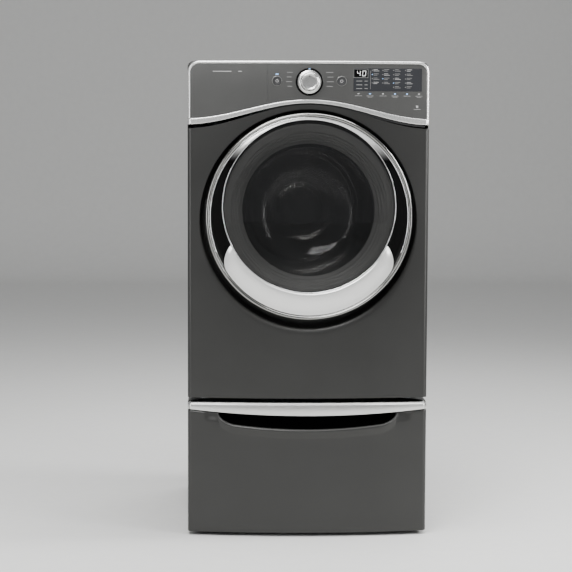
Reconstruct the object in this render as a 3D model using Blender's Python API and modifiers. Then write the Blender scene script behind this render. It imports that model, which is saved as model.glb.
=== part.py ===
"""Front load washing machine on a storage pedestal, as an assembly of separate parts.

Metres, +Z up. The front faces -Y and +X is the viewer's right. The origin is on the floor at the
middle of the outline, and z = 0 is the underside of the pedestal's feet.
"""

import math

import bmesh
import bpy
from mathutils import Matrix

# Overall size
WIDTH = 0.686
HEIGHT = 1.357
DEPTH = 0.790
HALF = WIDTH / 2
GAP = 0.0003
SHEET = 0.0015

# Depth: FRONT is where the bowed front meets the cabinet's sides
DOOR_PROUD = 0.062
FRONT = -DEPTH / 2 + DOOR_PROUD
BACK = DEPTH / 2
BOW = 0.0290
PEDESTAL_BOW = 0.0303
BOW_STEPS = 14
CORNER_ROUND = 0.012
WRAP = FRONT + 0.030

# Heights
PEDESTAL_BOTTOM = 0.012
PEDESTAL_TOP = 0.3865
DRAWER_BOTTOM = 0.0113
DRAWER_TOP = 0.3870
PANEL_BOTTOM = 0.4001
SIDE_TOP = 1.3387

# The wave under the console: height of a curve is mid + rise * cos(pi * x / WAVE_HALF)
WAVE_HALF = 0.350
WAVE_TOP = (1.2215, 0.0270)
WAVE_BOTTOM = (1.2080, 0.0300)
PANEL_TOP = (1.2005, 0.0335)
RIM_WIDTH = 0.008
RIM_CORNER = 0.034

# Door: a round ring with a smaller window set above its middle
RING_Z = 0.9195
RING_RADIUS = 0.2913
RING_INNER = 0.2775
WINDOW_Z = 0.9487
WINDOW_RADIUS = 0.2450
SKIRT_RADIUS = 0.2880
MOAT_Z = 0.9062
MOAT_RADIUS = 0.3131
MOAT_ASPECT = 0.982
MOAT_FLOOR = FRONT + 0.020
HINGE_X = -0.2850
HINGE_Y = FRONT - 0.030
HINGE_Z = RING_Z
STRIKE_X = 0.2450

# Wash unit, on one axis along Y
AXIS_Z = 0.925
TUB_RADIUS = 0.297
TUB_WALL = 0.004
TUB_SPLIT = FRONT + 0.300
TUB_REAR = FRONT + 0.625
DRUM_RADIUS = 0.276
DRUM_WALL = 0.002
DRUM_FRONT = FRONT + 0.118
DRUM_REAR = FRONT + 0.590
MOUTH_RADIUS = 0.200
SHAFT_RADIUS = 0.0152
SUSPENSION_Y = FRONT + 0.360
SPRING_X = 0.215
SPRING_BOTTOM = 1.166
SPRING_TOP = 1.300
DAMPER_X = 0.170

# Console
KNOB_Z = 1.298
BUTTON_X = 0.091
BUTTON_Z = 1.3004
BUTTON_RADIUS = 0.0125
DISPLAY_LOW = (0.1246, 1.2727)
DISPLAY_HIGH = (0.3197, 1.3368)
DISPENSER_EDGE = -0.1180

# Services at the back
HOT_X = -0.215
COLD_X = -0.155
LEAD_X = 0.215
SERVICE_Z = 1.275

# Pedestal drawer: curved lines are end height plus curvature times x squared
TRIM_LINE = (0.3499, 0.142)
LIP_LINE = (0.3118, 0.296)
SCOOP_HALF = 0.297

RING_STEPS = 48
LARGE_STEPS = 36
MEDIUM_STEPS = 24
SMALL_STEPS = 16

MATERIALS = {
    "graphite_paint": ((0.085, 0.086, 0.090), 0.35, 0.7),
    "satin_silver": ((0.62, 0.62, 0.62), 0.28, 1.0),
    "chrome": ((0.75, 0.75, 0.76), 0.10, 1.0),
    "gloss_black": ((0.010, 0.010, 0.011), 0.10, 0.0),
    "black_plastic": ((0.020, 0.020, 0.021), 0.45, 0.0),
    "console_plastic": ((0.110, 0.111, 0.114), 0.35, 0.4),
    "tinted_glass": ((0.020, 0.021, 0.022), 0.05, 0.0),
    "clear_glass": ((0.60, 0.62, 0.62), 0.03, 0.0),
    "grey_rubber": ((0.120, 0.122, 0.125), 0.60, 0.0),
    "black_rubber": ((0.018, 0.018, 0.018), 0.70, 0.0),
    "stainless": ((0.55, 0.55, 0.54), 0.25, 1.0),
    "galvanised": ((0.42, 0.43, 0.44), 0.45, 1.0),
    "spring_steel": ((0.30, 0.30, 0.31), 0.35, 1.0),
    "cast_aluminium": ((0.50, 0.50, 0.51), 0.40, 1.0),
    "tub_plastic": ((0.62, 0.62, 0.60), 0.50, 0.0),
    "white_plastic": ((0.75, 0.75, 0.74), 0.40, 0.0),
    "concrete": ((0.38, 0.37, 0.35), 0.85, 0.0),
    "circuit_board": ((0.020, 0.120, 0.050), 0.40, 0.0),
    "copper_winding": ((0.60, 0.27, 0.12), 0.35, 1.0),
}


# ---------------------------------------------------------------- scene and helpers


def clear_scene():
    for obj in list(bpy.data.objects):
        bpy.data.objects.remove(obj)


def new_collection(name):
    collection = bpy.data.collections.new(name)
    bpy.context.scene.collection.children.link(collection)
    return collection


def new_material(name):
    colour, roughness, metallic = MATERIALS[name]
    material = bpy.data.materials.new(name)
    material.use_nodes = True
    shader = material.node_tree.nodes["Principled BSDF"]
    shader.inputs["Base Color"].default_value = (*colour, 1.0)
    shader.inputs["Roughness"].default_value = roughness
    shader.inputs["Metallic"].default_value = metallic
    return material


def put(name, mesh, location=(0, 0, 0), rotation_x=0.0):
    """Links a mesh as an object of the parts collection."""
    obj = bpy.data.objects.new(name, mesh)
    obj.location = location
    obj.rotation_euler.x = rotation_x
    bpy.data.collections["washing_machine"].objects.link(obj)
    bpy.context.view_layer.update()
    return obj


def settle(obj):
    """Replaces a curve, or a mesh with modifiers, by the plain closed mesh that it makes."""
    graph = bpy.context.evaluated_depsgraph_get()
    mesh = bpy.data.meshes.new_from_object(obj.evaluated_get(graph))
    work = bmesh.new()
    work.from_mesh(mesh)
    bmesh.ops.remove_doubles(work, verts=work.verts, dist=0.00002)
    bmesh.ops.recalc_face_normals(work, faces=work.faces)
    work.to_mesh(mesh)
    work.free()
    mesh.shade_smooth()
    mesh.set_sharp_from_angle(angle=math.radians(35))
    name, place, turn = obj.name, obj.location.copy(), obj.rotation_euler.x
    bpy.data.objects.remove(obj)
    return put(name, mesh, place, turn)


def box(name, low, high):
    """A box between two corners, with its object at its middle."""
    work = bmesh.new()
    size = [b - a for a, b in zip(low, high)]
    bmesh.ops.create_cube(work, size=1.0, matrix=Matrix.Diagonal((*size, 1.0)))
    mesh = bpy.data.meshes.new(name)
    work.to_mesh(mesh)
    work.free()
    return put(name, mesh, [(a + b) / 2 for a, b in zip(low, high)])


def cylinder_y(name, radius, x, z, y_low, y_high, steps=MEDIUM_STEPS):
    """A cylinder along Y, between two depths."""
    work = bmesh.new()
    bmesh.ops.create_cone(
        work, cap_ends=True, segments=steps, radius1=radius, radius2=radius, depth=y_high - y_low
    )
    mesh = bpy.data.meshes.new(name)
    work.to_mesh(mesh)
    work.free()
    return put(name, mesh, (x, (y_low + y_high) / 2, z), -math.pi / 2)


def cylinder_z(name, radius, x, y, z_low, z_high, steps=SMALL_STEPS):
    """An upright cylinder, between two heights."""
    work = bmesh.new()
    bmesh.ops.create_cone(
        work, cap_ends=True, segments=steps, radius1=radius, radius2=radius, depth=z_high - z_low
    )
    mesh = bpy.data.meshes.new(name)
    work.to_mesh(mesh)
    work.free()
    return put(name, mesh, (x, y, (z_low + z_high) / 2))


def turned(name, profile, place, steps=LARGE_STEPS, upright=False, aspect=1.0, closed=True):
    """A turned shape. The profile is (radius, distance along the axis): +Y, or +Z where upright.

    A closed profile makes a ring. An open one starts and ends on the axis.
    """
    mesh = bpy.data.meshes.new(name)
    count = len(profile)
    edges = [(i, (i + 1) % count) for i in range(count if closed else count - 1)]
    mesh.from_pydata([(radius, 0, along) for radius, along in profile], edges, [])
    obj = put(name, mesh, place, 0.0 if upright else -math.pi / 2)
    screw = obj.modifiers.new("turn", "SCREW")
    screw.steps = screw.render_steps = steps
    screw.use_merge_vertices = True
    screw.merge_threshold = 0.00001
    obj = settle(obj)
    obj.data.transform(Matrix.Diagonal((aspect, 1.0, 1.0, 1.0)))
    return obj


def flat_outline(name, points, thickness, place, rotation_x):
    """A flat outline given thickness about its own plane, as a mesh."""
    curve = bpy.data.curves.new(name, "CURVE")
    curve.dimensions = "2D"
    curve.fill_mode = "BOTH"
    curve.extrude = thickness / 2
    spline = curve.splines.new("POLY")
    spline.points.add(len(points) - 1)
    for point, (a, b) in zip(spline.points, points):
        point.co = (a, b, 0.0, 1.0)
    spline.use_cyclic_u = True
    return settle(put(name, curve, place, rotation_x))


def plan(name, points, z_low, z_high):
    """A plan outline of (x, y) points, extruded between two heights."""
    return flat_outline(name, points, z_high - z_low, (0, 0, (z_low + z_high) / 2), 0.0)


def elevation(name, points, y_low, y_high):
    """A front outline of (x, z) points, extruded between two depths."""
    return flat_outline(name, points, y_high - y_low, (0, (y_low + y_high) / 2, 0), math.pi / 2)


def tube(name, points, radius, resolution=2):
    """A round wire through the points, with closed ends."""
    curve = bpy.data.curves.new(name, "CURVE")
    curve.dimensions = "3D"
    curve.bevel_depth = radius
    curve.bevel_resolution = resolution
    curve.use_fill_caps = True
    spline = curve.splines.new("POLY")
    spline.points.add(len(points) - 1)
    for point, co in zip(spline.points, points):
        point.co = (*co, 1.0)
    return settle(put(name, curve))


def combine(piece, tool, operation):
    """Adds a Boolean to a piece, and moves its tool among the cutters."""
    modifier = piece.modifiers.new(tool.name, "BOOLEAN")
    modifier.operation = operation
    modifier.object = tool
    tool.hide_render = True
    tool.display_type = "WIRE"
    bpy.data.collections["washing_machine"].objects.unlink(tool)
    bpy.data.collections["cutters"].objects.link(tool)
    return piece


def cut(piece, tool):
    return combine(piece, tool, "DIFFERENCE")


def join(piece, tool):
    return combine(piece, tool, "UNION")


def trim_to(piece, tool):
    return combine(piece, tool, "INTERSECT")


def finish(piece, material):
    piece.data.materials.clear()
    piece.data.materials.append(bpy.data.materials[material])
    return piece


def pivot(name, place):
    """An empty on a joint's axis, which the joint's pieces hang from."""
    empty = bpy.data.objects.new(name, None)
    empty.empty_display_size = 0.05
    empty.location = place
    bpy.data.collections["washing_machine"].objects.link(empty)
    return empty


def hang(parent, *pieces):
    for piece in pieces:
        piece.parent = parent
        piece.location = piece.location - parent.location


def arc(centre, radius, start, end, count):
    """Points on a circle from one angle to another, in degrees, both ends included."""
    angles = [math.radians(start + (end - start) * i / (count - 1)) for i in range(count)]
    return [(centre[0] + radius * math.cos(a), centre[1] + radius * math.sin(a)) for a in angles]


def spread(low, high, count):
    """Evenly spaced values from low to high, both ends included."""
    return [low + (high - low) * i / (count - 1) for i in range(count)]


def wave(curve, x):
    middle, rise = curve
    return middle + rise * math.cos(math.pi * x / WAVE_HALF)


def parabola(line, x):
    return line[0] + line[1] * x * x


def front_line(bow, inset=0.0, forward=0.0, half=HALF, wrap=WRAP):
    """The bowed front in plan, from the left side round to the right side.

    inset moves the whole line inwards by a wall's thickness, and forward moves it out.
    """
    side = half - inset
    turn = side - CORNER_ROUND
    shift = FRONT + inset - forward
    dip = bow * (1 - (turn / half) ** 2)
    left = [(-x, y) for x, y in corner_points(side, turn, shift, dip)]
    middle = [(x, shift - bow * (1 - (x / half) ** 2)) for x in spread(-turn, turn, BOW_STEPS + 1)]
    right = [(x, y) for x, y in reversed(corner_points(side, turn, shift, dip))]
    return [(-side, wrap)] + left + middle[1:-1] + right + [(side, wrap)]


def corner_points(side, turn, shift, dip):
    """The rounded vertical edge, from the side towards the front."""
    drop = CORNER_ROUND + dip
    angles = [math.radians(a) for a in (0, 30, 60, 90)]
    out = side - turn
    return [(turn + out * math.cos(a), shift + CORNER_ROUND - drop * math.sin(a)) for a in angles]


def front_shell(name, bow, wall, z_low, z_high, forward=0.0, wrap=WRAP):
    """A bowed sheet with its sides wrapped back, between two heights."""
    outer = front_line(bow, 0.0, forward, wrap=wrap)
    inner = front_line(bow, wall, forward, wrap=wrap)
    return plan(name, outer + list(reversed(inner)), z_low, z_high)


def front_block(name, bow, z_low, z_high, forward=0.0, back=WRAP):
    """Everything behind the bowed front, as far back as a flat plane."""
    return plan(name, front_line(bow, 0.0, forward, wrap=back), z_low, z_high)


# ---------------------------------------------------------------- pedestal


def pedestal_cabinet():
    piece = box("pedestal_cabinet", (-HALF, WRAP + GAP, PEDESTAL_BOTTOM), (HALF, BACK, PEDESTAL_TOP))
    wall = 0.0018
    inside = box(
        "pedestal_cabinet_inside",
        (-HALF + wall, FRONT, PEDESTAL_BOTTOM + wall),
        (HALF - wall, BACK - wall, PEDESTAL_TOP - wall),
    )
    return finish(cut(piece, inside), "graphite_paint")


def pedestal_foot(name, x, y):
    top = PEDESTAL_BOTTOM - GAP
    profile = [(0, top), (0.008, top), (0.008, 0.008), (0.017, 0.007), (0.019, 0.004), (0.019, 0), (0, 0)]
    return finish(turned(name, profile, (x, y, 0), SMALL_STEPS, upright=True, closed=False), "black_rubber")


def pedestal_feet():
    inset = 0.045
    for side, x in (("left", -HALF + inset), ("right", HALF - inset)):
        pedestal_foot(f"pedestal_foot_front_{side}", x, WRAP + inset)
        pedestal_foot(f"pedestal_foot_rear_{side}", x, BACK - inset)


def drawer_rails():
    inner, outer = 0.3262, HALF - 0.0018 - GAP
    for side, sign in (("left", -1), ("right", 1)):
        low_x, high_x = sorted((sign * inner, sign * outer))
        piece = box(f"drawer_rail_{side}", (low_x, WRAP + 0.03, 0.185), (high_x, BACK - 0.06, 0.227))
        groove_low, groove_high = sorted((sign * (inner - 0.002), sign * (outer - 0.004)))
        groove = box(
            f"drawer_rail_groove_{side}", (groove_low, WRAP, 0.191), (groove_high, BACK, 0.221)
        )
        finish(cut(piece, groove), "galvanised")


def scoop_outline(grow, roof):
    """The finger opening: a rolled lip below, upright ends, and a roof under the trim's line."""
    half = SCOOP_HALF + grow
    end_z = parabola(TRIM_LINE, half) - 0.011 - grow
    below = [(x, parabola(LIP_LINE, x) - grow) for x in spread(-half + 0.012, half - 0.012, 13)]
    above = [(x, parabola(TRIM_LINE, x) + roof) for x in spread(half, -half, 13)]
    return [(-half, end_z)] + below + [(half, end_z)] + above


def drawer_front():
    """The bowed drawer front, with a closed scoop for the fingers behind its top edge."""
    wall = 0.002
    piece = front_shell("pedestal_drawer_front", PEDESTAL_BOW, wall, DRAWER_BOTTOM, DRAWER_TOP)
    scoop = elevation("drawer_scoop_wall", scoop_outline(wall, 0.01), FRONT - 0.05, FRONT + 0.016)
    trim_to(scoop, front_block("drawer_scoop_limit", PEDESTAL_BOW, 0.2, 0.5, -SHEET / 3))
    join(piece, scoop)
    inside = elevation("drawer_scoop_inside", scoop_outline(0.0, -GAP - wall), FRONT - 0.06, FRONT + 0.014)
    cut(piece, inside)
    xs = spread(-HALF - 0.01, HALF + 0.01, 15)
    over = [(x, parabola(TRIM_LINE, x) - GAP) for x in xs] + [(HALF + 0.01, 0.5), (-HALF - 0.01, 0.5)]
    cut(piece, elevation("drawer_front_top_line", over, FRONT - 0.07, FRONT + 0.08))
    return finish(piece, "graphite_paint")


def drawer_trim():
    piece = front_shell(
        "pedestal_drawer_trim", PEDESTAL_BOW, 0.006, 0.33, DRAWER_TOP - GAP, 0.002, FRONT + 0.028
    )
    xs = spread(-HALF - 0.01, HALF + 0.01, 15)
    under = [(x, parabola(TRIM_LINE, x)) for x in xs] + [(HALF + 0.01, 0.2), (-HALF - 0.01, 0.2)]
    cut(piece, elevation("drawer_trim_lower_line", under, FRONT - 0.06, FRONT + 0.08))
    return finish(piece, "satin_silver")


def drawer_box():
    half, wall = 0.3235, 0.002
    piece = box("pedestal_drawer_box", (-half, WRAP + GAP, 0.040), (half, BACK - 0.09, 0.330))
    inside = box(
        "drawer_box_inside",
        (-half + wall, WRAP + GAP + wall, 0.042),
        (half - wall, BACK - 0.09 - wall, 0.35),
    )
    return finish(cut(piece, inside), "galvanised")


# ---------------------------------------------------------------- cabinet


def base_pan():
    low_y, high_y = WRAP + 0.003, FRONT + 0.712
    floor = PANEL_BOTTOM - 0.0001
    piece = box("base_pan", (-0.338, low_y, floor), (0.338, high_y, floor + 0.023))
    inside = box(
        "base_pan_inside", (-0.336, low_y + 0.002, floor + 0.002), (0.336, high_y - 0.002, floor + 0.05)
    )
    cut(piece, inside)
    spots = [(x, y) for x in (-0.29, 0.29) for y in (FRONT + 0.09, FRONT + 0.66)]
    for index, (x, y) in enumerate(spots):
        pad = cylinder_z(f"base_pad_{index}", 0.020, x, y, PEDESTAL_TOP + GAP, floor + 0.001)
        join(piece, pad)
    return finish(piece, "galvanised")


def side_panels():
    flange, front_flange = 0.022, 0.010
    for side, sign in (("left", -1), ("right", 1)):
        outline = [
            (HALF, WRAP + GAP),
            (HALF, BACK),
            (HALF - flange, BACK),
            (HALF - flange, BACK - SHEET),
            (HALF - SHEET, BACK - SHEET),
            (HALF - SHEET, WRAP + GAP + SHEET),
            (HALF - front_flange, WRAP + GAP + SHEET),
            (HALF - front_flange, WRAP + GAP),
        ]
        points = [(sign * x, y) for x, y in outline]
        finish(plan(f"side_panel_{side}", points, PANEL_BOTTOM, SIDE_TOP - GAP), "graphite_paint")


def rear_panel():
    y = FRONT + 0.715
    half = HALF - 0.0025
    piece = box("rear_panel", (-half, y, PANEL_BOTTOM + GAP), (half, y + SHEET, SIDE_TOP - GAP))
    holes = (("hot", HOT_X, 0.0135), ("cold", COLD_X, 0.0135), ("lead", LEAD_X, 0.0112))
    for name, x, radius in holes:
        hole = cylinder_y(f"rear_hole_{name}", radius, x, SERVICE_Z, y - 0.01, y + 0.01, SMALL_STEPS)
        cut(piece, hole)
    return finish(piece, "galvanised")


def top_panel():
    piece = box("top_panel", (-HALF, WRAP + GAP, SIDE_TOP), (HALF, BACK, HEIGHT))
    inside = box(
        "top_panel_inside",
        (-HALF + 0.002, WRAP + GAP + 0.002, SIDE_TOP - 0.01),
        (HALF - 0.002, BACK - 0.002, HEIGHT - 0.002),
    )
    return finish(cut(piece, inside), "graphite_paint")


def top_brace():
    low = (-0.3395, SUSPENSION_Y - 0.025, SPRING_TOP + 0.0022)
    high = (0.3395, SUSPENSION_Y + 0.025, 1.330)
    piece = box("top_brace", low, high)
    inside = box(
        "top_brace_inside",
        (low[0] - 0.01, low[1] + 0.0018, low[2] + 0.0018),
        (0.35, high[1] - 0.0018, 1.34),
    )
    return finish(cut(piece, inside), "galvanised")


def front_panel():
    """The bowed front sheet with its round recess and the hole that the seal is clamped to."""
    piece = front_shell("front_panel", BOW, SHEET, PANEL_BOTTOM, 1.26)
    xs = spread(-HALF - 0.01, HALF + 0.01, 21)
    over = [(x, wave(PANEL_TOP, x)) for x in xs] + [(HALF + 0.01, 1.4), (-HALF - 0.01, 1.4)]
    cut(piece, elevation("front_panel_top_line", over, FRONT - 0.06, FRONT + 0.08))
    place = (0, 0, MOAT_Z)
    floor = MOAT_FLOOR
    wall = SHEET
    outer = [
        (0, FRONT - 0.06),
        (MOAT_RADIUS + wall, FRONT - 0.06),
        (MOAT_RADIUS + wall, FRONT - 0.004),
        (MOAT_RADIUS - 0.010 + wall, floor - 0.004),
        (MOAT_RADIUS - 0.011 + wall, floor + wall),
        (0, floor + wall),
    ]
    plug = turned("recess_wall", outer, place, RING_STEPS, aspect=MOAT_ASPECT, closed=False)
    trim_to(plug, front_block("recess_limit", BOW, 0.5, 1.3, -SHEET / 3))
    join(piece, plug)
    inner = [
        (0, FRONT - 0.07),
        (MOAT_RADIUS, FRONT - 0.07),
        (MOAT_RADIUS, FRONT - 0.004),
        (MOAT_RADIUS - 0.010, floor - 0.004),
        (MOAT_RADIUS - 0.011, floor),
        (0, floor),
    ]
    cut(piece, turned("recess_inside", inner, place, RING_STEPS, aspect=MOAT_ASPECT, closed=False))
    mouth = cylinder_y("front_panel_mouth", MOUTH_RADIUS, 0, AXIS_Z, FRONT, FRONT + 0.05, LARGE_STEPS)
    cut(piece, mouth)
    slot = box(
        "front_panel_lock_slot",
        (STRIKE_X - 0.010, FRONT, RING_Z - 0.025),
        (STRIKE_X + 0.010, FRONT + 0.05, RING_Z + 0.025),
    )
    cut(piece, slot)
    return finish(piece, "graphite_paint")


def console_rim():
    """The silver edge along the top of the console and down both sides."""
    piece = front_block("console_rim", BOW, 1.18, HEIGHT, 0.0025)
    bottom = wave(WAVE_TOP, HALF - RIM_WIDTH) + 2 * GAP
    outer = rim_outline(HALF + 0.0001, HEIGHT + 0.0001, RIM_CORNER, bottom)
    inner = rim_outline(HALF - RIM_WIDTH, HEIGHT - RIM_WIDTH, RIM_CORNER - RIM_WIDTH, bottom - 0.02)
    trim_to(piece, elevation("console_rim_outer", outer, FRONT - 0.06, FRONT + 0.08))
    cut(piece, elevation("console_rim_inner", inner, FRONT - 0.07, FRONT + 0.09))
    return finish(piece, "satin_silver")


def rim_outline(half, top, radius, bottom, left=None, curve=None):
    """A console outline: straight sides, rounded top corners, and a flat or a wavy lower edge."""
    right_corner = arc((half - radius, top - radius), radius, 0, 90, 7)
    start = -half if left is None else left
    if left is None:
        left_corner = [(-x, z) for x, z in reversed(right_corner)]
    else:
        left_corner = [(start, top)]
    if curve is None:
        lower = [(start, bottom), (half, bottom)]
    else:
        lower = [(x, wave(curve, x) + GAP) for x in spread(start, half, 17)]
    return lower + right_corner + left_corner


def wave_trim():
    """The silver band under the console, a wave between two cosine curves."""
    piece = front_shell("wave_trim", BOW, 0.005, 1.15, 1.27, 0.0025)
    xs = spread(-HALF - 0.001, HALF + 0.001, 21)
    above = [(x, wave(WAVE_TOP, x)) for x in xs]
    below = [(x, wave(WAVE_BOTTOM, x)) for x in reversed(xs)]
    trim_to(piece, elevation("wave_trim_outline", above + below, FRONT - 0.06, FRONT + 0.08))
    return finish(piece, "satin_silver")


# ---------------------------------------------------------------- console


def console_inside(left):
    """The console's face inside the rim, from a left edge, or from the rim's own."""
    half = HALF - RIM_WIDTH - GAP
    top = HEIGHT - RIM_WIDTH - GAP
    return rim_outline(half, top, RIM_CORNER - RIM_WIDTH, 0, left, WAVE_TOP)


def console_panel():
    piece = front_shell("console_panel", BOW, 0.003, 1.18, 1.352)
    outline = console_inside(DISPENSER_EDGE + GAP)
    trim_to(piece, elevation("console_panel_outline", outline, FRONT - 0.06, FRONT + 0.02))
    low_x, low_z = DISPLAY_LOW
    high_x, high_z = DISPLAY_HIGH
    window = box(
        "console_display_hole",
        (low_x - GAP, FRONT - 0.06, low_z - GAP),
        (high_x + GAP, FRONT + 0.03, high_z + GAP),
    )
    cut(piece, window)
    key_hole = BUTTON_RADIUS + 0.0007
    holes = [("knob", 0.0, KNOB_Z, 0.0072)]
    holes += [("power", -BUTTON_X, BUTTON_Z, key_hole), ("start", BUTTON_X, BUTTON_Z, key_hole)]
    for name, x, z, radius in holes:
        cut(piece, cylinder_y(f"console_hole_{name}", radius, x, z, FRONT - 0.06, FRONT + 0.02))
    return finish(piece, "console_plastic")


def display_panel():
    piece = front_shell("display_panel", BOW, 0.0025, 1.25, 1.35, 0.0003)
    low_x, low_z = DISPLAY_LOW
    high_x, high_z = DISPLAY_HIGH
    trim_to(piece, box("display_outline", (low_x, FRONT - 0.06, low_z), (high_x, FRONT + 0.02, high_z)))
    return finish(piece, "tinted_glass")


def control_board():
    """The board behind the fascia, with the knob's encoder and the two push switches."""
    face = FRONT + 0.006
    piece = box("control_board", (-0.105, face, 1.262), (0.322, face + 0.002, 1.342))
    half = 0.013
    low = (-half, FRONT - 0.020, KNOB_Z - half)
    join(piece, box("encoder_body", low, (half, face + 0.001, KNOB_Z + half)))
    cut(piece, cylinder_y("encoder_bore", 0.0063, 0, KNOB_Z, FRONT - 0.03, FRONT - 0.003, SMALL_STEPS))
    for name, x in (("power", -BUTTON_X), ("start", BUTTON_X)):
        join(piece, cylinder_y(f"switch_{name}", 0.004, x, BUTTON_Z, FRONT - 0.0175, face + 0.001, 12))
    join(piece, box("board_transformer", (0.20, face + 0.001, 1.27), (0.25, face + 0.030, 1.31)))
    return finish(piece, "circuit_board")


def selector_knob():
    face = FRONT - BOW
    profile = [
        (0, face - 0.0262),
        (0.0205, face - 0.0262),
        (0.0238, face - 0.0248),
        (0.0250, face - 0.0215),
        (0.0258, face - 0.0080),
        (0.0325, face - 0.0060),
        (0.0335, face - 0.0045),
        (0.0335, face - 0.0008),
        (0.0062, face - 0.0008),
        (0.0060, FRONT - 0.0060),
        (0, FRONT - 0.0060),
    ]
    return finish(turned("selector_knob", profile, (0, 0, KNOB_Z), 32, closed=False), "satin_silver")


def push_button(name, x):
    face = FRONT - BOW * (1 - (x / HALF) ** 2)
    profile = [(0, face - 0.0016), (0.0115, face - 0.0016), (BUTTON_RADIUS, face - 0.0008)]
    profile += [(BUTTON_RADIUS, face + 0.0060), (0, face + 0.0060)]
    piece = turned(name, profile, (x, 0, BUTTON_Z), MEDIUM_STEPS, closed=False)
    return finish(piece, "black_plastic")


def dispenser_front():
    """The detergent drawer's face, part of the console's bowed surface, with its stiff back."""
    piece = front_shell("dispenser_front", BOW, 0.003, 1.18, 1.352)
    whole = console_inside(None)
    trim_to(piece, elevation("dispenser_front_outline", whole, FRONT - 0.06, FRONT + 0.02))
    low, high = (DISPENSER_EDGE, FRONT - 0.07, 1.1), (HALF + 0.01, FRONT + 0.04, 1.4)
    cut(piece, box("dispenser_front_edge", low, high))
    left, right, back = -0.3180, -0.1290, FRONT + 0.0042
    face = [(x, FRONT + 0.0015 - BOW * (1 - (x / HALF) ** 2)) for x in spread(left, right, 6)]
    join(piece, plan("dispenser_front_core", face + [(right, back), (left, back)], 1.246, 1.320))
    return finish(piece, "console_plastic")


def dispenser_tray():
    low, high = (-0.3245, FRONT + 0.0046, 1.2445), (-0.1285, FRONT + 0.255, 1.300)
    piece = box("dispenser_tray", low, high)
    wall = 0.0025
    edges = (-0.3245, -0.2600, -0.1930, -0.1285)
    for index in range(3):
        pocket = box(
            f"dispenser_pocket_{index}",
            (edges[index] + wall, low[1] + wall, low[2] + wall),
            (edges[index + 1] - wall / 2 * (1 if index < 2 else 2), high[1] - wall, high[2] + 0.01),
        )
        cut(piece, pocket)
    return finish(piece, "white_plastic")


def dispenser_housing():
    low, high = (-0.3300, FRONT + 0.0050, 1.2400), (-0.1230, FRONT + 0.264, 1.3270)
    piece = box("dispenser_housing", low, high)
    inside = box(
        "dispenser_housing_inside",
        (low[0] + 0.0025, FRONT - 0.02, low[2] + 0.0025),
        (high[0] - 0.0025, high[1] - 0.0025, high[2] - 0.0025),
    )
    return finish(cut(piece, inside), "white_plastic")


# ---------------------------------------------------------------- door


def door_outer_ring():
    front, back = FRONT - DOOR_PROUD, FRONT - 0.046
    middle, radius = (RING_INNER + RING_RADIUS) / 2, (RING_RADIUS - RING_INNER) / 2
    crown = arc((middle, front + radius), radius, 180, 360, 6)
    profile = crown + [(RING_RADIUS, back), (RING_INNER, back)]
    return finish(turned("door_outer_ring", profile, (0, 0, RING_Z), RING_STEPS), "chrome")


def door_face_ring():
    """The black dished face between the ring and the window."""
    front, back = FRONT - 0.0540, FRONT - 0.0463
    profile = [(0, front), (RING_INNER - 0.0005, front), (RING_INNER - 0.0005, back), (0, back)]
    piece = turned("door_face_ring", profile, (0, 0, RING_Z), RING_STEPS, closed=False)
    radius = WINDOW_RADIUS + 0.0006
    hole = cylinder_y("door_face_hole", radius, 0, WINDOW_Z, FRONT - 0.08, FRONT - 0.02, RING_STEPS)
    return finish(cut(piece, hole), "gloss_black")


def crescent_outline():
    """The lower crescent: window arc above, ring arc below, and rounded horns."""
    inner = arc((0, WINDOW_Z), WINDOW_RADIUS + 0.0014, -154.0, -26.0, 25)
    outer = arc((0, RING_Z), RING_INNER - 0.0012, -35.0, -145.0, 25)
    tip, bulge, foot = inner[-1], (0.2529, 0.7946), outer[0]
    right = []
    for step in range(1, 6):
        t = step / 6
        a, b, c = (1 - t) ** 2, 2 * t * (1 - t), t * t
        right.append(tuple(a * tip[i] + b * bulge[i] + c * foot[i] for i in (0, 1)))
    left = [(-x, z) for x, z in reversed(right)]
    return inner + right + outer + left


def door_crescent():
    piece = elevation("door_crescent", crescent_outline(), FRONT - 0.0615, FRONT - 0.0543)
    return finish(piece, "satin_silver")


def door_window():
    front = FRONT - 0.0560
    dome = 0.0050
    rise = [(WINDOW_RADIUS * i / 4, front - dome * (1 - (i / 4) ** 2)) for i in range(5)]
    profile = rise + [(WINDOW_RADIUS, front + 0.004)]
    profile += [(r, y + 0.004) for r, y in reversed(rise[:-1])]
    piece = turned("door_window", profile, (0, 0, WINDOW_Z), RING_STEPS, closed=False)
    return finish(piece, "tinted_glass")


def door_bowl():
    """The pressed glass bowl that keeps the wash back from the window."""
    outer = [(0.2050, -0.0103), (0.2050, -0.0045), (0.1870, -0.0045), (0.1800, 0.0300), (0.1650, 0.0800)]
    outer += [(0.1400, 0.1150), (0.0950, 0.1320), (0.0, 0.1380)]
    inner = [(0.0, 0.1330), (0.0930, 0.1272), (0.1365, 0.1110), (0.1602, 0.0780), (0.1750, 0.0290)]
    inner += [(0.1815, -0.0103)]
    profile = [(r, FRONT + y) for r, y in outer + inner]
    return finish(turned_shell("door_bowl", profile, len(outer), (0, 0, AXIS_Z)), "clear_glass")


def turned_shell(name, profile, break_at, place):
    """A turned cup: one profile from rim to axis, then back from the axis to the rim."""
    mesh = bpy.data.meshes.new(name)
    count = len(profile)
    edges = [(i, (i + 1) % count) for i in range(count) if i != break_at - 1]
    mesh.from_pydata([(radius, 0, along) for radius, along in profile], edges, [])
    obj = put(name, mesh, place, -math.pi / 2)
    screw = obj.modifiers.new("turn", "SCREW")
    screw.steps = screw.render_steps = LARGE_STEPS
    screw.use_merge_vertices = True
    screw.merge_threshold = 0.00001
    return settle(obj)


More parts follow.
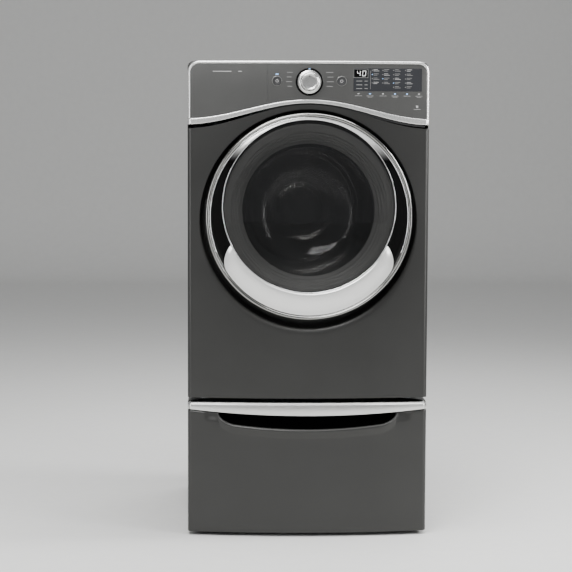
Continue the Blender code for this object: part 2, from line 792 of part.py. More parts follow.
def door_back_frame():
    """The door's rear casting, open towards the front, with a slot where the hinge reaches in."""
    profile = [
        (SKIRT_RADIUS, -0.0457),
        (SKIRT_RADIUS, -0.0040),
        (SKIRT_RADIUS - 0.008, 0.0020),
        (0.1910, 0.0020),
        (0.1910, -0.0040),
        (0.2740, -0.0040),
        (0.2815, -0.0120),
        (0.2815, -0.0457),
    ]
    points = [(r, FRONT + y) for r, y in profile]
    piece = turned("door_back_frame", points, (0, 0, RING_Z), RING_STEPS)
    slot = box(
        "door_hinge_slot", (-0.31, FRONT - 0.05, HINGE_Z - 0.054), (-0.2360, FRONT + 0.02, HINGE_Z + 0.054)
    )
    cut(piece, slot)
    low, high = FRONT - 0.01, FRONT + 0.01
    cut(piece, cylinder_y("door_bowl_hole", 0.1910, 0, AXIS_Z, low, high, LARGE_STEPS))
    return finish(piece, "black_plastic")


def door_hinge_arm():
    """The knuckle round the pin and the arm that is screwed to the door's frame."""
    half, inner_x = 0.034, -0.2150
    piece = cylinder_z("door_hinge_arm", 0.0085, HINGE_X, HINGE_Y, HINGE_Z - half, HINGE_Z + half)
    low = (HINGE_X + 0.002, HINGE_Y - 0.006, HINGE_Z - half + 0.001)
    join(piece, box("hinge_arm_plate", low, (inner_x, HINGE_Y - 0.001, HINGE_Z + half - 0.001)))
    low = (inner_x - 0.019, HINGE_Y - 0.005, HINGE_Z - 0.030)
    join(piece, box("hinge_arm_foot", low, (inner_x, FRONT - 0.0043, HINGE_Z + 0.030)))
    bore = cylinder_z("hinge_arm_bore", 0.00430, HINGE_X, HINGE_Y, HINGE_Z - 0.05, HINGE_Z + 0.05)
    return finish(cut(piece, bore), "cast_aluminium")


def hinge_bracket():
    """The bracket on the recess floor, with an ear above and an ear below the knuckle."""
    floor = MOAT_FLOOR - GAP
    low_z, high_z = HINGE_Z - 0.046, HINGE_Z + 0.046
    piece = box("hinge_bracket", (-0.2890, floor - 0.003, low_z), (-0.2400, floor, high_z))
    ears = ((low_z, low_z + 0.0085), (high_z - 0.0085, high_z))
    for index, (bottom, top) in enumerate(ears):
        ear = box(f"hinge_ear_{index}", (-0.2880, HINGE_Y, bottom), (-0.2780, floor - 0.001, top))
        join(piece, ear)
        join(piece, cylinder_z(f"hinge_ear_boss_{index}", 0.0075, HINGE_X, HINGE_Y, bottom, top))
    bore = cylinder_z("hinge_bracket_bore", 0.00430, HINGE_X, HINGE_Y, HINGE_Z - 0.06, HINGE_Z + 0.06)
    return finish(cut(piece, bore), "galvanised")


def hinge_pin():
    half = 0.0475
    return finish(
        cylinder_z("hinge_pin", 0.0040, HINGE_X, HINGE_Y, HINGE_Z - half, HINGE_Z + half), "stainless"
    )


def door_strike():
    """The hook that the lock catches."""
    root = FRONT + 0.0023
    low = (STRIKE_X - 0.012, root, RING_Z - 0.022)
    piece = box("door_strike", low, (STRIKE_X + 0.012, root + 0.003, RING_Z + 0.022))
    low = (STRIKE_X - 0.003, root + 0.001, RING_Z - 0.008)
    stem = box("strike_stem", low, (STRIKE_X + 0.003, FRONT + 0.036, RING_Z + 0.008))
    return finish(join(piece, stem), "stainless")


def door_lock():
    low = (STRIKE_X - 0.020, MOAT_FLOOR + SHEET + GAP, RING_Z - 0.055)
    piece = box("door_lock", low, (STRIKE_X + 0.020, FRONT + 0.050, RING_Z + 0.055))
    low = (STRIKE_X - 0.009, FRONT, RING_Z - 0.020)
    mouth = box("door_lock_mouth", low, (STRIKE_X + 0.009, FRONT + 0.042, RING_Z + 0.020))
    return finish(cut(piece, mouth), "black_plastic")


def door_gasket():
    """The rubber bellows between the front panel's hole and the tub's lip."""
    steps = 7
    outer, inner = [], []
    for i in range(steps):
        y = FRONT + 0.018 + (0.066 * i / (steps - 1))
        fold = 0.0030 if i % 2 else 0.0
        outer.append((0.1955 + fold, y))
        inner.append((0.1920 + fold, y))
    profile = [(MOUTH_RADIUS - 0.0008, FRONT + 0.014)] + outer + list(reversed(inner))
    profile += [(0.1925, FRONT + 0.014)]
    return finish(turned("door_gasket", profile, (0, 0, AXIS_Z), LARGE_STEPS), "grey_rubber")


# ---------------------------------------------------------------- wash unit


def tub_front():
    lip, front = 0.2050, FRONT + 0.104
    profile = [
        (TUB_RADIUS, front),
        (TUB_RADIUS, TUB_SPLIT - GAP),
        (TUB_RADIUS - TUB_WALL, TUB_SPLIT - GAP),
        (TUB_RADIUS - TUB_WALL, front + TUB_WALL),
        (lip, front + TUB_WALL),
        (lip, front - 0.012),
        (lip + TUB_WALL, front - 0.012),
        (lip + TUB_WALL, front),
    ]
    return finish(turned("tub_front", profile, (0, 0, AXIS_Z)), "tub_plastic")


def tub_rear():
    """The tub's rear shell: wall, back, bearing hub, the stator's boss and the spring lugs."""
    back = TUB_REAR
    profile = [
        (TUB_RADIUS, TUB_SPLIT),
        (TUB_RADIUS, back),
        (0.0620, back),
        (0.0620, back + 0.0165),
        (0.0311, back + 0.0165),
        (0.0311, back - 0.0240),
        (0.0400, back - 0.0240),
        (0.0480, back - TUB_WALL),
        (TUB_RADIUS - TUB_WALL, back - TUB_WALL),
        (TUB_RADIUS - TUB_WALL, TUB_SPLIT),
    ]
    piece = turned("tub_rear", profile, (0, 0, AXIS_Z))
    for side, x in (("left", -SPRING_X), ("right", SPRING_X)):
        lug = box(
            f"spring_lug_{side}",
            (x - 0.012, SUSPENSION_Y - 0.012, AXIS_Z + 0.180),
            (x + 0.012, SUSPENSION_Y + 0.012, SPRING_BOTTOM - 0.0022),
        )
        join(piece, lug)
    low, high = TUB_SPLIT - 0.01, back - TUB_WALL
    inside = cylinder_y("tub_lug_trim", TUB_RADIUS - TUB_WALL, 0, AXIS_Z, low, high, LARGE_STEPS)
    cut(piece, inside)
    return finish(piece, "tub_plastic")


def front_counterweight():
    profile = [(0.2150, 0.0600), (0.2850, 0.0600), (0.2900, 0.0650), (0.2900, 0.1037), (0.2150, 0.1037)]
    points = [(r, FRONT + y) for r, y in profile]
    return finish(turned("front_counterweight", points, (0, 0, AXIS_Z)), "concrete")


def drum_bearing():
    profile = [(0.0308, -0.0220), (0.0308, 0.0150), (0.0155, 0.0150), (0.0155, -0.0220)]
    points = [(r, TUB_REAR + y) for r, y in profile]
    return finish(turned("drum_bearing", points, (0, 0, AXIS_Z), MEDIUM_STEPS), "spring_steel")


def motor_stator():
    profile = [(0.1300, 0.0240), (0.1300, 0.0480), (0.0950, 0.0480), (0.0950, 0.0240), (0.0400, 0.0240)]
    profile += [(0.0400, 0.0170), (0.1000, 0.0170), (0.1050, 0.0240)]
    points = [(r, TUB_REAR + y) for r, y in profile]
    return finish(turned("motor_stator", points, (0, 0, AXIS_Z), 36), "copper_winding")


def motor_rotor():
    profile = [(0.1420, 0.0260), (0.1420, 0.0630), (0.0155, 0.0630), (0.0155, 0.0500), (0.0300, 0.0500)]
    profile += [(0.0300, 0.0590), (0.1360, 0.0590), (0.1360, 0.0260)]
    points = [(r, TUB_REAR + y) for r, y in profile]
    return finish(turned("motor_rotor", points, (0, 0, AXIS_Z), 36), "galvanised")


def drum():
    wall = DRUM_WALL
    profile = [
        (DRUM_RADIUS, DRUM_FRONT + 0.006),
        (DRUM_RADIUS, DRUM_REAR),
        (0.0, DRUM_REAR),
        (0.0, DRUM_REAR - wall),
        (DRUM_RADIUS - wall, DRUM_REAR - wall),
        (DRUM_RADIUS - wall, DRUM_FRONT + 0.006 + wall),
        (DRUM_RADIUS - 0.012, DRUM_FRONT + wall),
        (0.2160, DRUM_FRONT + wall),
        (0.2160, DRUM_FRONT),
        (DRUM_RADIUS - 0.012, DRUM_FRONT),
    ]
    return finish(turned_shell("drum", profile, 3, (0, 0, AXIS_Z)), "stainless")


def drum_baffle(name, angle):
    """A rounded ridge that stands on the drum's wall."""
    base, top, radius = 0.024, 0.009, 0.2716
    rise = 0.045
    outline = [(-base, -radius), (base, -radius), (top, -radius + rise), (-top, -radius + rise)]
    turn = math.radians(angle)
    points = [
        (x * math.cos(turn) - z * math.sin(turn), AXIS_Z + x * math.sin(turn) + z * math.cos(turn))
        for x, z in outline
    ]
    return finish(elevation(name, points, DRUM_FRONT + 0.05, DRUM_REAR - 0.03), "white_plastic")


def drum_spider():
    """Three arms across the back of the drum, on the shaft."""
    arms_front, arms_back = DRUM_REAR + GAP, DRUM_REAR + 0.0095
    profile = [(0, arms_front), (0.045, arms_front), (0.045, arms_back), (SHAFT_RADIUS, arms_back)]
    profile += [(SHAFT_RADIUS, TUB_REAR + 0.0660), (0, TUB_REAR + 0.0660)]
    piece = turned("drum_spider", profile, (0, 0, AXIS_Z), SMALL_STEPS, closed=False)
    for index in range(3):
        turn = math.radians(90 + 120 * index)
        outline = [(0.0, -0.022), (0.262, -0.012), (0.262, 0.012), (0.0, 0.022)]
        points = [
            (a * math.cos(turn) - b * math.sin(turn), AXIS_Z + a * math.sin(turn) + b * math.cos(turn))
            for a, b in outline
        ]
        join(piece, elevation(f"spider_arm_{index}", points, arms_front, arms_back - 0.001))
    return finish(piece, "cast_aluminium")


def helix(x, y, low, high, radius, turns, per_turn):
    count = turns * per_turn
    points = []
    for i in range(count + 1):
        angle = 2 * math.pi * i / per_turn
        rise = low + (high - low) * i / count
        points.append((x + radius * math.cos(angle), y + radius * math.sin(angle), rise))
    return points


def suspension_springs():
    for side, x in (("left", -SPRING_X), ("right", SPRING_X)):
        points = helix(x, SUSPENSION_Y, SPRING_BOTTOM, SPRING_TOP, 0.0105, 7, 7)
        finish(tube(f"suspension_spring_{side}", points, 0.0018, 1), "spring_steel")


def dampers():
    floor = PANEL_BOTTOM + 0.0022
    for side, x in (("left", -DAMPER_X), ("right", DAMPER_X)):
        cylinder = cylinder_z(f"damper_cylinder_{side}", 0.0160, x, SUSPENSION_Y, floor, 0.565)
        cut(cylinder, cylinder_z(f"damper_bore_{side}", 0.0088, x, SUSPENSION_Y, floor + 0.01, 0.60))
        finish(cylinder, "black_plastic")
        profile = [(0, 0.668), (0.013, 0.668), (0.013, 0.650), (0.0080, 0.646), (0.0080, 0.440), (0, 0.440)]
        rod = turned(
            f"damper_rod_{side}", profile, (x, SUSPENSION_Y, 0), SMALL_STEPS, upright=True, closed=False
        )
        finish(rod, "galvanised")


def drain_pump():
    floor = PANEL_BOTTOM + 0.0022
    y = FRONT + 0.13
    piece = box("drain_pump", (0.205, y - 0.045, floor), (0.285, y + 0.045, floor + 0.030))
    join(piece, cylinder_y("pump_chamber", 0.038, 0.245, floor + 0.045, y - 0.040, y + 0.030))
    join(piece, cylinder_y("pump_motor", 0.028, 0.245, floor + 0.045, y + 0.029, y + 0.085))
    join(piece, cylinder_z("pump_outlet", 0.011, 0.245, y - 0.010, floor + 0.06, floor + 0.115))
    return finish(piece, "white_plastic")


def inlet_valve():
    y = FRONT + 0.715
    piece = box("inlet_valve", (HOT_X - 0.03, y - 0.045, 1.255), (COLD_X + 0.03, y - 0.004, 1.297))
    for name, x in (("hot", HOT_X), ("cold", COLD_X)):
        spigot = f"valve_spigot_{name}"
        join(piece, cylinder_y(spigot, 0.0125, x, SERVICE_Z, y - 0.006, BACK - 0.0005, SMALL_STEPS))
        join(piece, cylinder_z(f"valve_coil_{name}", 0.0140, x, y - 0.026, 1.296, 1.322))
    return finish(piece, "white_plastic")


def power_inlet():
    """The strain relief that a mains lead would leave through."""
    y = FRONT + 0.715
    outside = y + SHEET + GAP
    profile = [(0, y - 0.014), (0.0150, y - 0.014), (0.0150, y - GAP), (0.0105, y - GAP)]
    profile += [(0.0105, outside), (0.0140, outside), (0.0120, BACK - 0.001), (0, BACK - 0.001)]
    place = (LEAD_X, 0, SERVICE_Z)
    return finish(turned("power_inlet", profile, place, MEDIUM_STEPS, closed=False), "black_plastic")


# ---------------------------------------------------------------- assembly


def build_pedestal():
    pedestal_cabinet()
    pedestal_feet()
    drawer_rails()
    slide = pivot("pedestal_drawer_pivot", (0, FRONT, 0.20))
    hang(slide, drawer_front(), drawer_trim(), drawer_box())


def build_cabinet():
    base_pan()
    side_panels()
    rear_panel()
    top_panel()
    top_brace()
    front_panel()
    console_rim()
    wave_trim()
    drain_pump()
    inlet_valve()
    power_inlet()


def build_console():
    console_panel()
    display_panel()
    control_board()
    dispenser_housing()
    hang(pivot("knob_pivot", (0, FRONT - BOW, KNOB_Z)), selector_knob())
    hang(pivot("power_pivot", (-BUTTON_X, FRONT - BOW, BUTTON_Z)), push_button("power_button", -BUTTON_X))
    hang(pivot("start_pivot", (BUTTON_X, FRONT - BOW, BUTTON_Z)), push_button("start_button", BUTTON_X))
    hang(pivot("dispenser_pivot", (-0.22, FRONT, 1.28)), dispenser_front(), dispenser_tray())


def build_door():
    hinge_bracket()
    hinge_pin()
    door_lock()
    door_gasket()
    pieces = [door_outer_ring(), door_face_ring(), door_crescent(), door_window(), door_bowl()]
    pieces += [door_back_frame(), door_hinge_arm(), door_strike()]
    hang(pivot("door_pivot", (HINGE_X, HINGE_Y, HINGE_Z)), *pieces)


def build_wash_unit():
    tub_front()
    tub_rear()
    front_counterweight()
    drum_bearing()
    motor_stator()
    suspension_springs()
    dampers()
    pieces = [drum(), drum_spider(), motor_rotor()]
    pieces += [drum_baffle(f"drum_baffle_{i + 1}", 60 + 120 * i) for i in range(3)]
    hang(pivot("drum_pivot", (0, DRUM_REAR, AXIS_Z)), *pieces)


def main():
    clear_scene()
    new_collection("washing_machine")
    new_collection("cutters")
    for name in MATERIALS:
        new_material(name)
    build_pedestal()
    build_cabinet()
    build_console()
    build_door()
    build_wash_unit()


main()
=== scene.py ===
"""Front load washing machine on its storage pedestal: the pieces that are seen, and their finishes.

Metres, +Z up, the front faces -Y and +X is the viewer's right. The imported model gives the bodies
that the pieces ride on. Each sub-assembly is one class, which builds its pieces and dresses them.
"""

from __future__ import annotations

import logging
import math
from dataclasses import dataclass, field
from enum import Enum
from math import cos, dist, hypot, pi, radians, sin, sqrt
from typing import Callable, Sequence

import bmesh
import bpy
from mathutils import Matrix, Vector


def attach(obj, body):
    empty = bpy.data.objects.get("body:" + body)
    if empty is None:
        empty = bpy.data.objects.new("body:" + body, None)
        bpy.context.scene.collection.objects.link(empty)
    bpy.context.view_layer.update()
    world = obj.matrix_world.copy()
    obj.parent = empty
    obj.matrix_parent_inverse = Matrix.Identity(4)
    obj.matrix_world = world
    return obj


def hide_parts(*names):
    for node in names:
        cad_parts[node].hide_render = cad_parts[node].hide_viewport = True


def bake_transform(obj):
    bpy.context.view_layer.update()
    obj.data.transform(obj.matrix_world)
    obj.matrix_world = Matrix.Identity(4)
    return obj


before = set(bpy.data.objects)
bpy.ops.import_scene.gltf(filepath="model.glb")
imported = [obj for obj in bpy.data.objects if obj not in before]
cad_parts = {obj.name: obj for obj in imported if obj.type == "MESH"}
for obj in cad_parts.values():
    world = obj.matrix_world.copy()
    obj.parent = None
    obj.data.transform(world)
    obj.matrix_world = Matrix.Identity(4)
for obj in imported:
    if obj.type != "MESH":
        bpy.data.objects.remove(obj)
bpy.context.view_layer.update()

LOG = logging.getLogger("washer")

Point = tuple[float, float, float]
Flat = tuple[float, float]
Curve = Callable[[float], float]
Tree = bpy.types.NodeTree
Socket = bpy.types.NodeSocket
Object = bpy.types.Object

# Sizes that several sub-assemblies share, the same as the solids'
HALF = 0.343
HEIGHT = 1.357
FRONT = -0.333
BACK = 0.395
WRAP = FRONT + 0.030
BOW = 0.0290
PEDESTAL_BOW = 0.0303
CORNER_ROUND = 0.012
SIDE_TOP = 1.3387
PANEL_BOTTOM = 0.4001
RIM_WIDTH = 0.008
RIM_CORNER = 0.034
RING_Z = 0.9195
WINDOW_Z = 0.9487
AXIS_Z = 0.925
GAP = 0.0003
MM = 0.001

# Roughness of a clear coat and of cloudy noise, and the heights where the painted reflection on the door's
# upper face starts and ends
COAT_ROUGHNESS = 0.06
CLOUD_ROUGHNESS = 0.55
REFLECTION_START = 1.075
REFLECTION_END = 1.150

# Thickness of a printed or lit mark, and how far its face stands out on the glass and on the face
INK_THICK = 0.0001
ON_GLASS = 0.0005
ON_FACE = 0.0002


# ---------------------------------------------------------------- finishes


class Grain(Enum):
    """How a surface was made, which decides the pattern that it shows."""

    SPRAYED = "sprayed"
    BRUSHED = "brushed"
    SPUN = "spun"
    MOULDED = "moulded"
    POLISHED = "polished"
    SPANGLED = "spangled"
    CAST = "cast"
    WOUND = "wound"
    ETCHED = "etched"
    LIT = "lit"
    # Not a way of making: colour set by height, a painted reflection of the light from above
    FADED = "faded"


def linear(code: str) -> tuple[float, float, float, float]:
    """Turns an sRGB hex colour to linear.

    Args:
        code: six hex digits.

    Returns:
        Red, green, blue and a full alpha.
    """
    levels = [int(code[i : i + 2], 16) / 255 for i in (0, 2, 4)]
    red, green, blue = (v / 12.92 if v <= 0.04045 else ((v + 0.055) / 1.055) ** 2.4 for v in levels)
    return red, green, blue, 1.0


def add(tree: Tree, kind: str, inputs: dict | None = None, **settings: object) -> bpy.types.Node:
    """Adds a node, sets it up, and fills or links its inputs.

    Args:
        tree: the tree that gets the node.
        kind: the node's type name.
        inputs: input name or number to a value, or to the socket that feeds it.
        settings: attributes of the node itself.

    Returns:
        The new node.
    """
    node = tree.nodes.new(kind)
    for key, value in settings.items():
        setattr(node, key, value)
    for key, value in (inputs or {}).items():
        if isinstance(value, Socket):
            tree.links.new(value, node.inputs[key])
        else:
            node.inputs[key].default_value = value
    return node


@dataclass(frozen=True)
class Finish:
    """One real material and the way its surface was made.

    The colour drifts to the second colour with the pattern, and the roughness between its two
    ends. Lengths are in millimetres.
    """

    name: str
    grain: Grain
    colour: str
    second: str
    roughness: tuple[float, float]
    metallic: float = 0.0
    pitch: float = 1.0
    depth: float = 0.02
    coat: float = 0.0
    ior: float = 1.5
    alpha: float = 1.0
    centre: Point = (0.0, 0.0, 0.0)
    glow: float = 0.0

    def material(self) -> bpy.types.Material:
        """Builds the material once, and returns it."""
        found = bpy.data.materials.get(self.name)
        if found:
            return found
        made = bpy.data.materials.new(self.name)
        made.use_nodes = True
        tree = made.node_tree
        tree.nodes.clear()
        place = add(tree, "ShaderNodeTexCoord").outputs["Object"]
        place = add(
            tree, "ShaderNodeVectorMath", {0: place, 1: self.centre}, operation="SUBTRACT"
        ).outputs[0]
        drift, height = self.pattern(tree, place)
        tone = add(
            tree,
            "ShaderNodeMix",
            {"Factor": drift, "A": linear(self.colour), "B": linear(self.second)},
            data_type="RGBA",
        )
        # The Mix node keeps sockets of each type, so the colour ones are named by number.
        colours = [s for s in tone.inputs if s.type == "RGBA"]
        colours[0].default_value = linear(self.colour)
        colours[1].default_value = linear(self.second)
        low, high = self.roughness
        rough = add(tree, "ShaderNodeMapRange", {"Value": drift, "To Min": low, "To Max": high})
        bump = add(tree, "ShaderNodeBump", {"Height": height, "Strength": 1.0, "Distance": self.depth * MM})
        shader = add(
            tree,
            "ShaderNodeBsdfPrincipled",
            {
                "Base Color": next(s for s in tone.outputs if s.type == "RGBA"),
                "Metallic": self.metallic,
                "Roughness": rough.outputs["Result"],
                "Normal": bump.outputs["Normal"],
                "IOR": self.ior,
                "Coat Weight": self.coat,
                "Coat Roughness": COAT_ROUGHNESS,
                "Alpha": self.alpha,
            },
        )
        if self.glow:
            shader.inputs["Emission Color"].default_value = linear(self.colour)
            shader.inputs["Emission Strength"].default_value = self.glow
        add(tree, "ShaderNodeOutputMaterial", {"Surface": shader.outputs[0]})
        return made

    def noise(self, tree: Tree, place: Socket, pitch: float, detail: float) -> Socket:
        """Cloudy variation with features about one pitch across, in millimetres."""
        settings = {"Vector": place, "Scale": 1000 / pitch, "Detail": detail, "Roughness": CLOUD_ROUGHNESS}
        return add(tree, "ShaderNodeTexNoise", settings).outputs["Fac"]

    def stretched(self, tree: Tree, place: Socket, long: float) -> Socket:
        """Lines along X, one pitch apart and about a long length from end to end."""
        return self.lines(tree, place, (1000 / long, 1000 / self.pitch, 1000 / self.pitch))

    def lines(self, tree: Tree, place: Socket, scale: Point) -> Socket:
        """Fine noise, scaled by its own amount along each axis."""
        moved = add(tree, "ShaderNodeMapping", {"Vector": place, "Scale": scale}).outputs[0]
        return add(
            tree, "ShaderNodeTexNoise", {"Vector": moved, "Scale": 1.0, "Detail": 2.0}
        ).outputs["Fac"]

    def pattern(self, tree: Tree, place: Socket) -> tuple:
        """Makes the surface's pattern.

        Args:
            tree: the material's tree.
            place: the point, measured from the finish's centre.

        Returns:
            A socket from 0 to 1 for colour and roughness, and one for the height.
        """
        if self.grain is Grain.BRUSHED:
            lines = self.stretched(tree, place, 60.0)
            return lines, lines
        if self.grain is Grain.SPUN:
            parts = add(tree, "ShaderNodeSeparateXYZ", {0: place})
            flat = add(tree, "ShaderNodeCombineXYZ", {"X": parts.outputs["X"], "Y": parts.outputs["Z"]})
            radius = add(
                tree, "ShaderNodeVectorMath", {0: flat.outputs[0]}, operation="LENGTH"
            ).outputs["Value"]
            turn = add(
                tree, "ShaderNodeMath", {0: parts.outputs["X"], 1: parts.outputs["Z"]}, operation="ARCTAN2"
            )
            lay = add(
                tree, "ShaderNodeCombineXYZ", {"X": radius, "Y": turn.outputs[0], "Z": parts.outputs["Y"]}
            )
            lines = self.lines(tree, lay.outputs[0], (1000 / self.pitch, 0.4, 1000 / self.pitch))
            return lines, lines
        if self.grain is Grain.SPANGLED:
            cells = add(tree, "ShaderNodeTexVoronoi", {"Vector": place, "Scale": 1000 / self.pitch})
            shade = add(tree, "ShaderNodeSeparateColor", {0: cells.outputs["Color"]}).outputs[0]
            return shade, self.noise(tree, place, self.pitch / 6, 2.0)
        if self.grain is Grain.WOUND:
            turns = add(
                tree,
                "ShaderNodeTexWave",
                {"Vector": place, "Scale": 1000 / self.pitch / 20, "Distortion": 1.0},
                wave_type="RINGS",
                rings_direction="Y",
            ).outputs["Fac"]
            return turns, turns
        if self.grain is Grain.ETCHED:
            tracks = add(
                tree,
                "ShaderNodeTexBrick",
                {"Vector": place, "Scale": 1000 / self.pitch, "Mortar Size": 0.08, "Color1": (0, 0, 0, 1),
                "Color2": (0.2,) * 3 + (1,)},
            ).outputs["Fac"]
            return tracks, tracks
        if self.grain is Grain.FADED:
            # Painted reflection: black below, silver above, eased by height, in place of the light from
            # above mirrored in the gloss
            level = add(tree, "ShaderNodeSeparateXYZ", {0: place}).outputs["Z"]
            span = {"Value": level, "From Min": REFLECTION_START, "From Max": REFLECTION_END}
            share = add(tree, "ShaderNodeMapRange", span, interpolation_type="SMOOTHSTEP")
            return share.outputs["Result"], self.noise(tree, place, self.pitch, 0.0)
        fine = self.noise(tree, place, self.pitch, 3.0)
        if self.grain is Grain.MOULDED:
            return self.noise(tree, place, 45.0, 2.0), fine
        if self.grain is Grain.POLISHED:
            return self.noise(tree, place, 90.0, 3.0), self.noise(tree, place, 25.0, 0.0)
        if self.grain is Grain.SPRAYED:
            flake = add(tree, "ShaderNodeTexVoronoi", {"Vector": place, "Scale": 1000 / 0.45})
            glint = add(tree, "ShaderNodeSeparateColor", {0: flake.outputs["Color"]}).outputs[0]
            cloud = self.noise(tree, place, 120.0, 2.0)
            both = add(tree, "ShaderNodeMath", {0: glint, 1: cloud}, operation="ADD").outputs[0]
            half = add(tree, "ShaderNodeMath", {0: both, 1: 0.5}, operation="MULTIPLY").outputs[0]
            return half, fine
        return fine, self.noise(tree, place, self.pitch, 6.0)


# Metallic enamel sprayed on deep-drawn steel: dark neutral grey, aluminium flake, faint orange peel
GRAPHITE = Finish(
    "sprayed_graphite_enamel", Grain.SPRAYED, "343433", "3E3E3D", (0.34, 0.42), 0.70, 2.5, 0.006, coat=0.12
)
# Metallic lacquer on a moulded console: a shade lighter and smoother than the sheet steel
CONSOLE = Finish(
    "lacquered_console_abs", Grain.SPRAYED, "525251", "5F5F5E", (0.32, 0.40), 0.65, 2.0, 0.004, coat=0.15
)
# Satin electroplate on ABS, wiped in one direction: soft bright bands
SATIN = Finish("satin_plated_abs", Grain.BRUSHED, "EEEEEC", "F8F8F6", (0.24, 0.32), 0.9, 0.8, 0.0)
# Rolled and brushed aluminium extrusion: fine lines along its length
BRUSHED = Finish("brushed_aluminium", Grain.BRUSHED, "C6C6C4", "EAEAE8", (0.26, 0.38), 0.95, 0.7, 0.0015)
# Bright chromium electroplate: a mirror with only wiping marks
CHROME = Finish("bright_chromium_plate", Grain.POLISHED, "E6E7E8", "F1F2F2", (0.06, 0.12), 1.0, 20.0, 0.0)
# Pearl silver lacquer on a moulded crescent: soft sheen that fades evenly
PEARL = Finish(
    "pearl_silver_lacquer", Grain.SPRAYED, "E6E6E4", "F4F4F2", (0.28, 0.36), 0.75, 1.5, 0.002, coat=0.3
)
# Chrome plate given a dark grey colour: painted dark reflection, standing in for dark surroundings mirrored
# in the door's outer bead
CHROME_PAINTED_DARK = Finish(
    "dark_chromium_plate", Grain.POLISHED, "8A8A88", "929290", (0.14, 0.20), 1.0, 20.0, 0.0
)
# Dull grey moulding behind the window
FRAME_GREY = Finish(
    "dull_grey_polypropylene", Grain.MOULDED, "6E6E6C", "7A7A78", (0.42, 0.52), 0.0, 1.0, 0.01
)
# Injection moulded gloss black ABS: deep black with clear reflections
GLOSS = Finish(
    "gloss_black_abs", Grain.POLISHED, "050505", "080808", (0.05, 0.11), 0.0, 20.0, 0.002, ior=1.30
)
# The same gloss black moulding with a painted reflection: silver painted on by height, standing in for the
# light from above mirrored in the upper face, so that it fades out towards its ends
FADED = Finish(
    "faded_silver_on_black_abs", Grain.FADED, "060606", "E6E6E4", (0.12, 0.34), 0.5, 20.0, 0.001, ior=1.35
)
# Soft-touch dark grey key cap with a fine matt texture
KEY_BLACK = Finish("matt_dark_key_cap", Grain.MOULDED, "2A2A2B", "323233", (0.36, 0.46), 0.0, 0.8, 0.004)
# Spark-eroded black polypropylene: matt, with a fine grain
MATT = Finish(
    "textured_black_polypropylene", Grain.MOULDED, "151516", "1E1E1F", (0.42, 0.55), 0.0, 0.8, 0.03
)
# Near-black, almost unreflecting sheet deep inside the finger opening: painted shade for the hollow under
# the trim
SCOOP_PAINTED_SHADE = Finish(
    "dull_black_polypropylene", Grain.MOULDED, "020202", "030303", (0.75, 0.88), 0.0, 0.8, 0.0, ior=1.10
)
# Satin plated knob, turned by the tool that cut it: fine rings round its own axis
KNOB = Finish(
    "satin_plated_knob", Grain.SPUN, "D6D6D4", "E8E8E6", (0.22, 0.30), 1.0, 1.0, 0.0,
    centre=(0.0, 0.0, 1.298)
)
# The knob's fluted grip: the knob's satin plate painted darker, as painted shade and dark reflection on the
# grip's sides
GRIP_PAINTED_SHADE = Finish("dark_satin_plate", Grain.POLISHED, "5C5C5B", "666665", (0.30, 0.38), 0.9, 20.0, 0.0)
# Rings round the keys: moulded ABS under a dull plate
KEY_RING = Finish("dull_plated_ring", Grain.POLISHED, "8A8A88", "929290", (0.26, 0.34), 0.9, 20.0, 0.0)
# Moulded white polypropylene, faintly translucent and satin
WHITE = Finish("white_polypropylene", Grain.MOULDED, "DCDDD9", "E8E8E5", (0.34, 0.46), 0.0, 1.2, 0.02)
# Glass-filled tub resin: greyish white, dull, with flow marks
RESIN = Finish("glass_filled_tub_resin", Grain.CAST, "B9B9B4", "CBCBC6", (0.48, 0.62), 0.0, 4.0, 0.05)
# EPDM rubber from a compression mould: grey, with a light bloom
EPDM = Finish("grey_epdm_rubber", Grain.MOULDED, "55575A", "6B6D70", (0.48, 0.62), 0.0, 1.5, 0.04)
# Carbon-filled nitrile rubber: near black and dull
RUBBER = Finish("black_nitrile_rubber", Grain.MOULDED, "161616", "222222", (0.60, 0.75), 0.0, 1.2, 0.05)
# Cold rolled stainless sheet, spun to a drum: rings round the axis
STAINLESS = Finish(
    "spun_stainless_steel", Grain.SPUN, "B4B4B2", "D2D2D0", (0.18, 0.30), 1.0, 0.8, 0.004,
    centre=(0.0, 0.0, AXIS_Z)
)
# Hot-dip galvanised sheet: crystals a centimetre across that catch the light by turns
ZINC = Finish(
    "hot_dip_galvanised_steel", Grain.SPANGLED, "8E9194", "B2B5B8", (0.30, 0.48), 1.0, 11.0, 0.006
)
# Oil-tempered spring wire: dark and lightly polished
SPRING = Finish(
    "oil_tempered_spring_steel", Grain.POLISHED, "4A4846", "64615E", (0.26, 0.38), 1.0, 6.0, 0.004
)
# Sand-textured die cast aluminium
CASTING = Finish("die_cast_aluminium", Grain.CAST, "8C8D8E", "AAABAC", (0.38, 0.55), 1.0, 2.0, 0.05)
# Pressed steel, electrocoated black against rust, on the hinge parts
ECOAT = Finish(
    "black_electrocoated_steel", Grain.CAST, "0B0B0C", "121213", (0.45, 0.58), 0.0, 1.5, 0.01, ior=1.30
)
# Poured concrete with fine aggregate and air holes
CONCRETE = Finish("poured_concrete", Grain.CAST, "8B8880", "A9A69E", (0.75, 0.92), 0.0, 5.0, 0.35)
# Enamelled copper wire wound in coils
COPPER = Finish("enamelled_copper_winding", Grain.WOUND, "7A3A18", "C4713A", (0.22, 0.40), 0.9, 0.9, 0.10)
# Glass-epoxy board with green solder mask over etched tracks
BOARD = Finish(
    "solder_masked_circuit_board", Grain.ETCHED, "0F3D22", "1D5B35", (0.30, 0.40), 0.0, 3.0, 0.03
)
# Toughened glass with a smoked film: dark, sharp reflections
TINTED = Finish(
    "smoked_toughened_glass", Grain.POLISHED, "060606", "0A0A0A", (0.02, 0.05), 0.0, 60.0, 0.001, ior=1.7,
    alpha=0.40
)
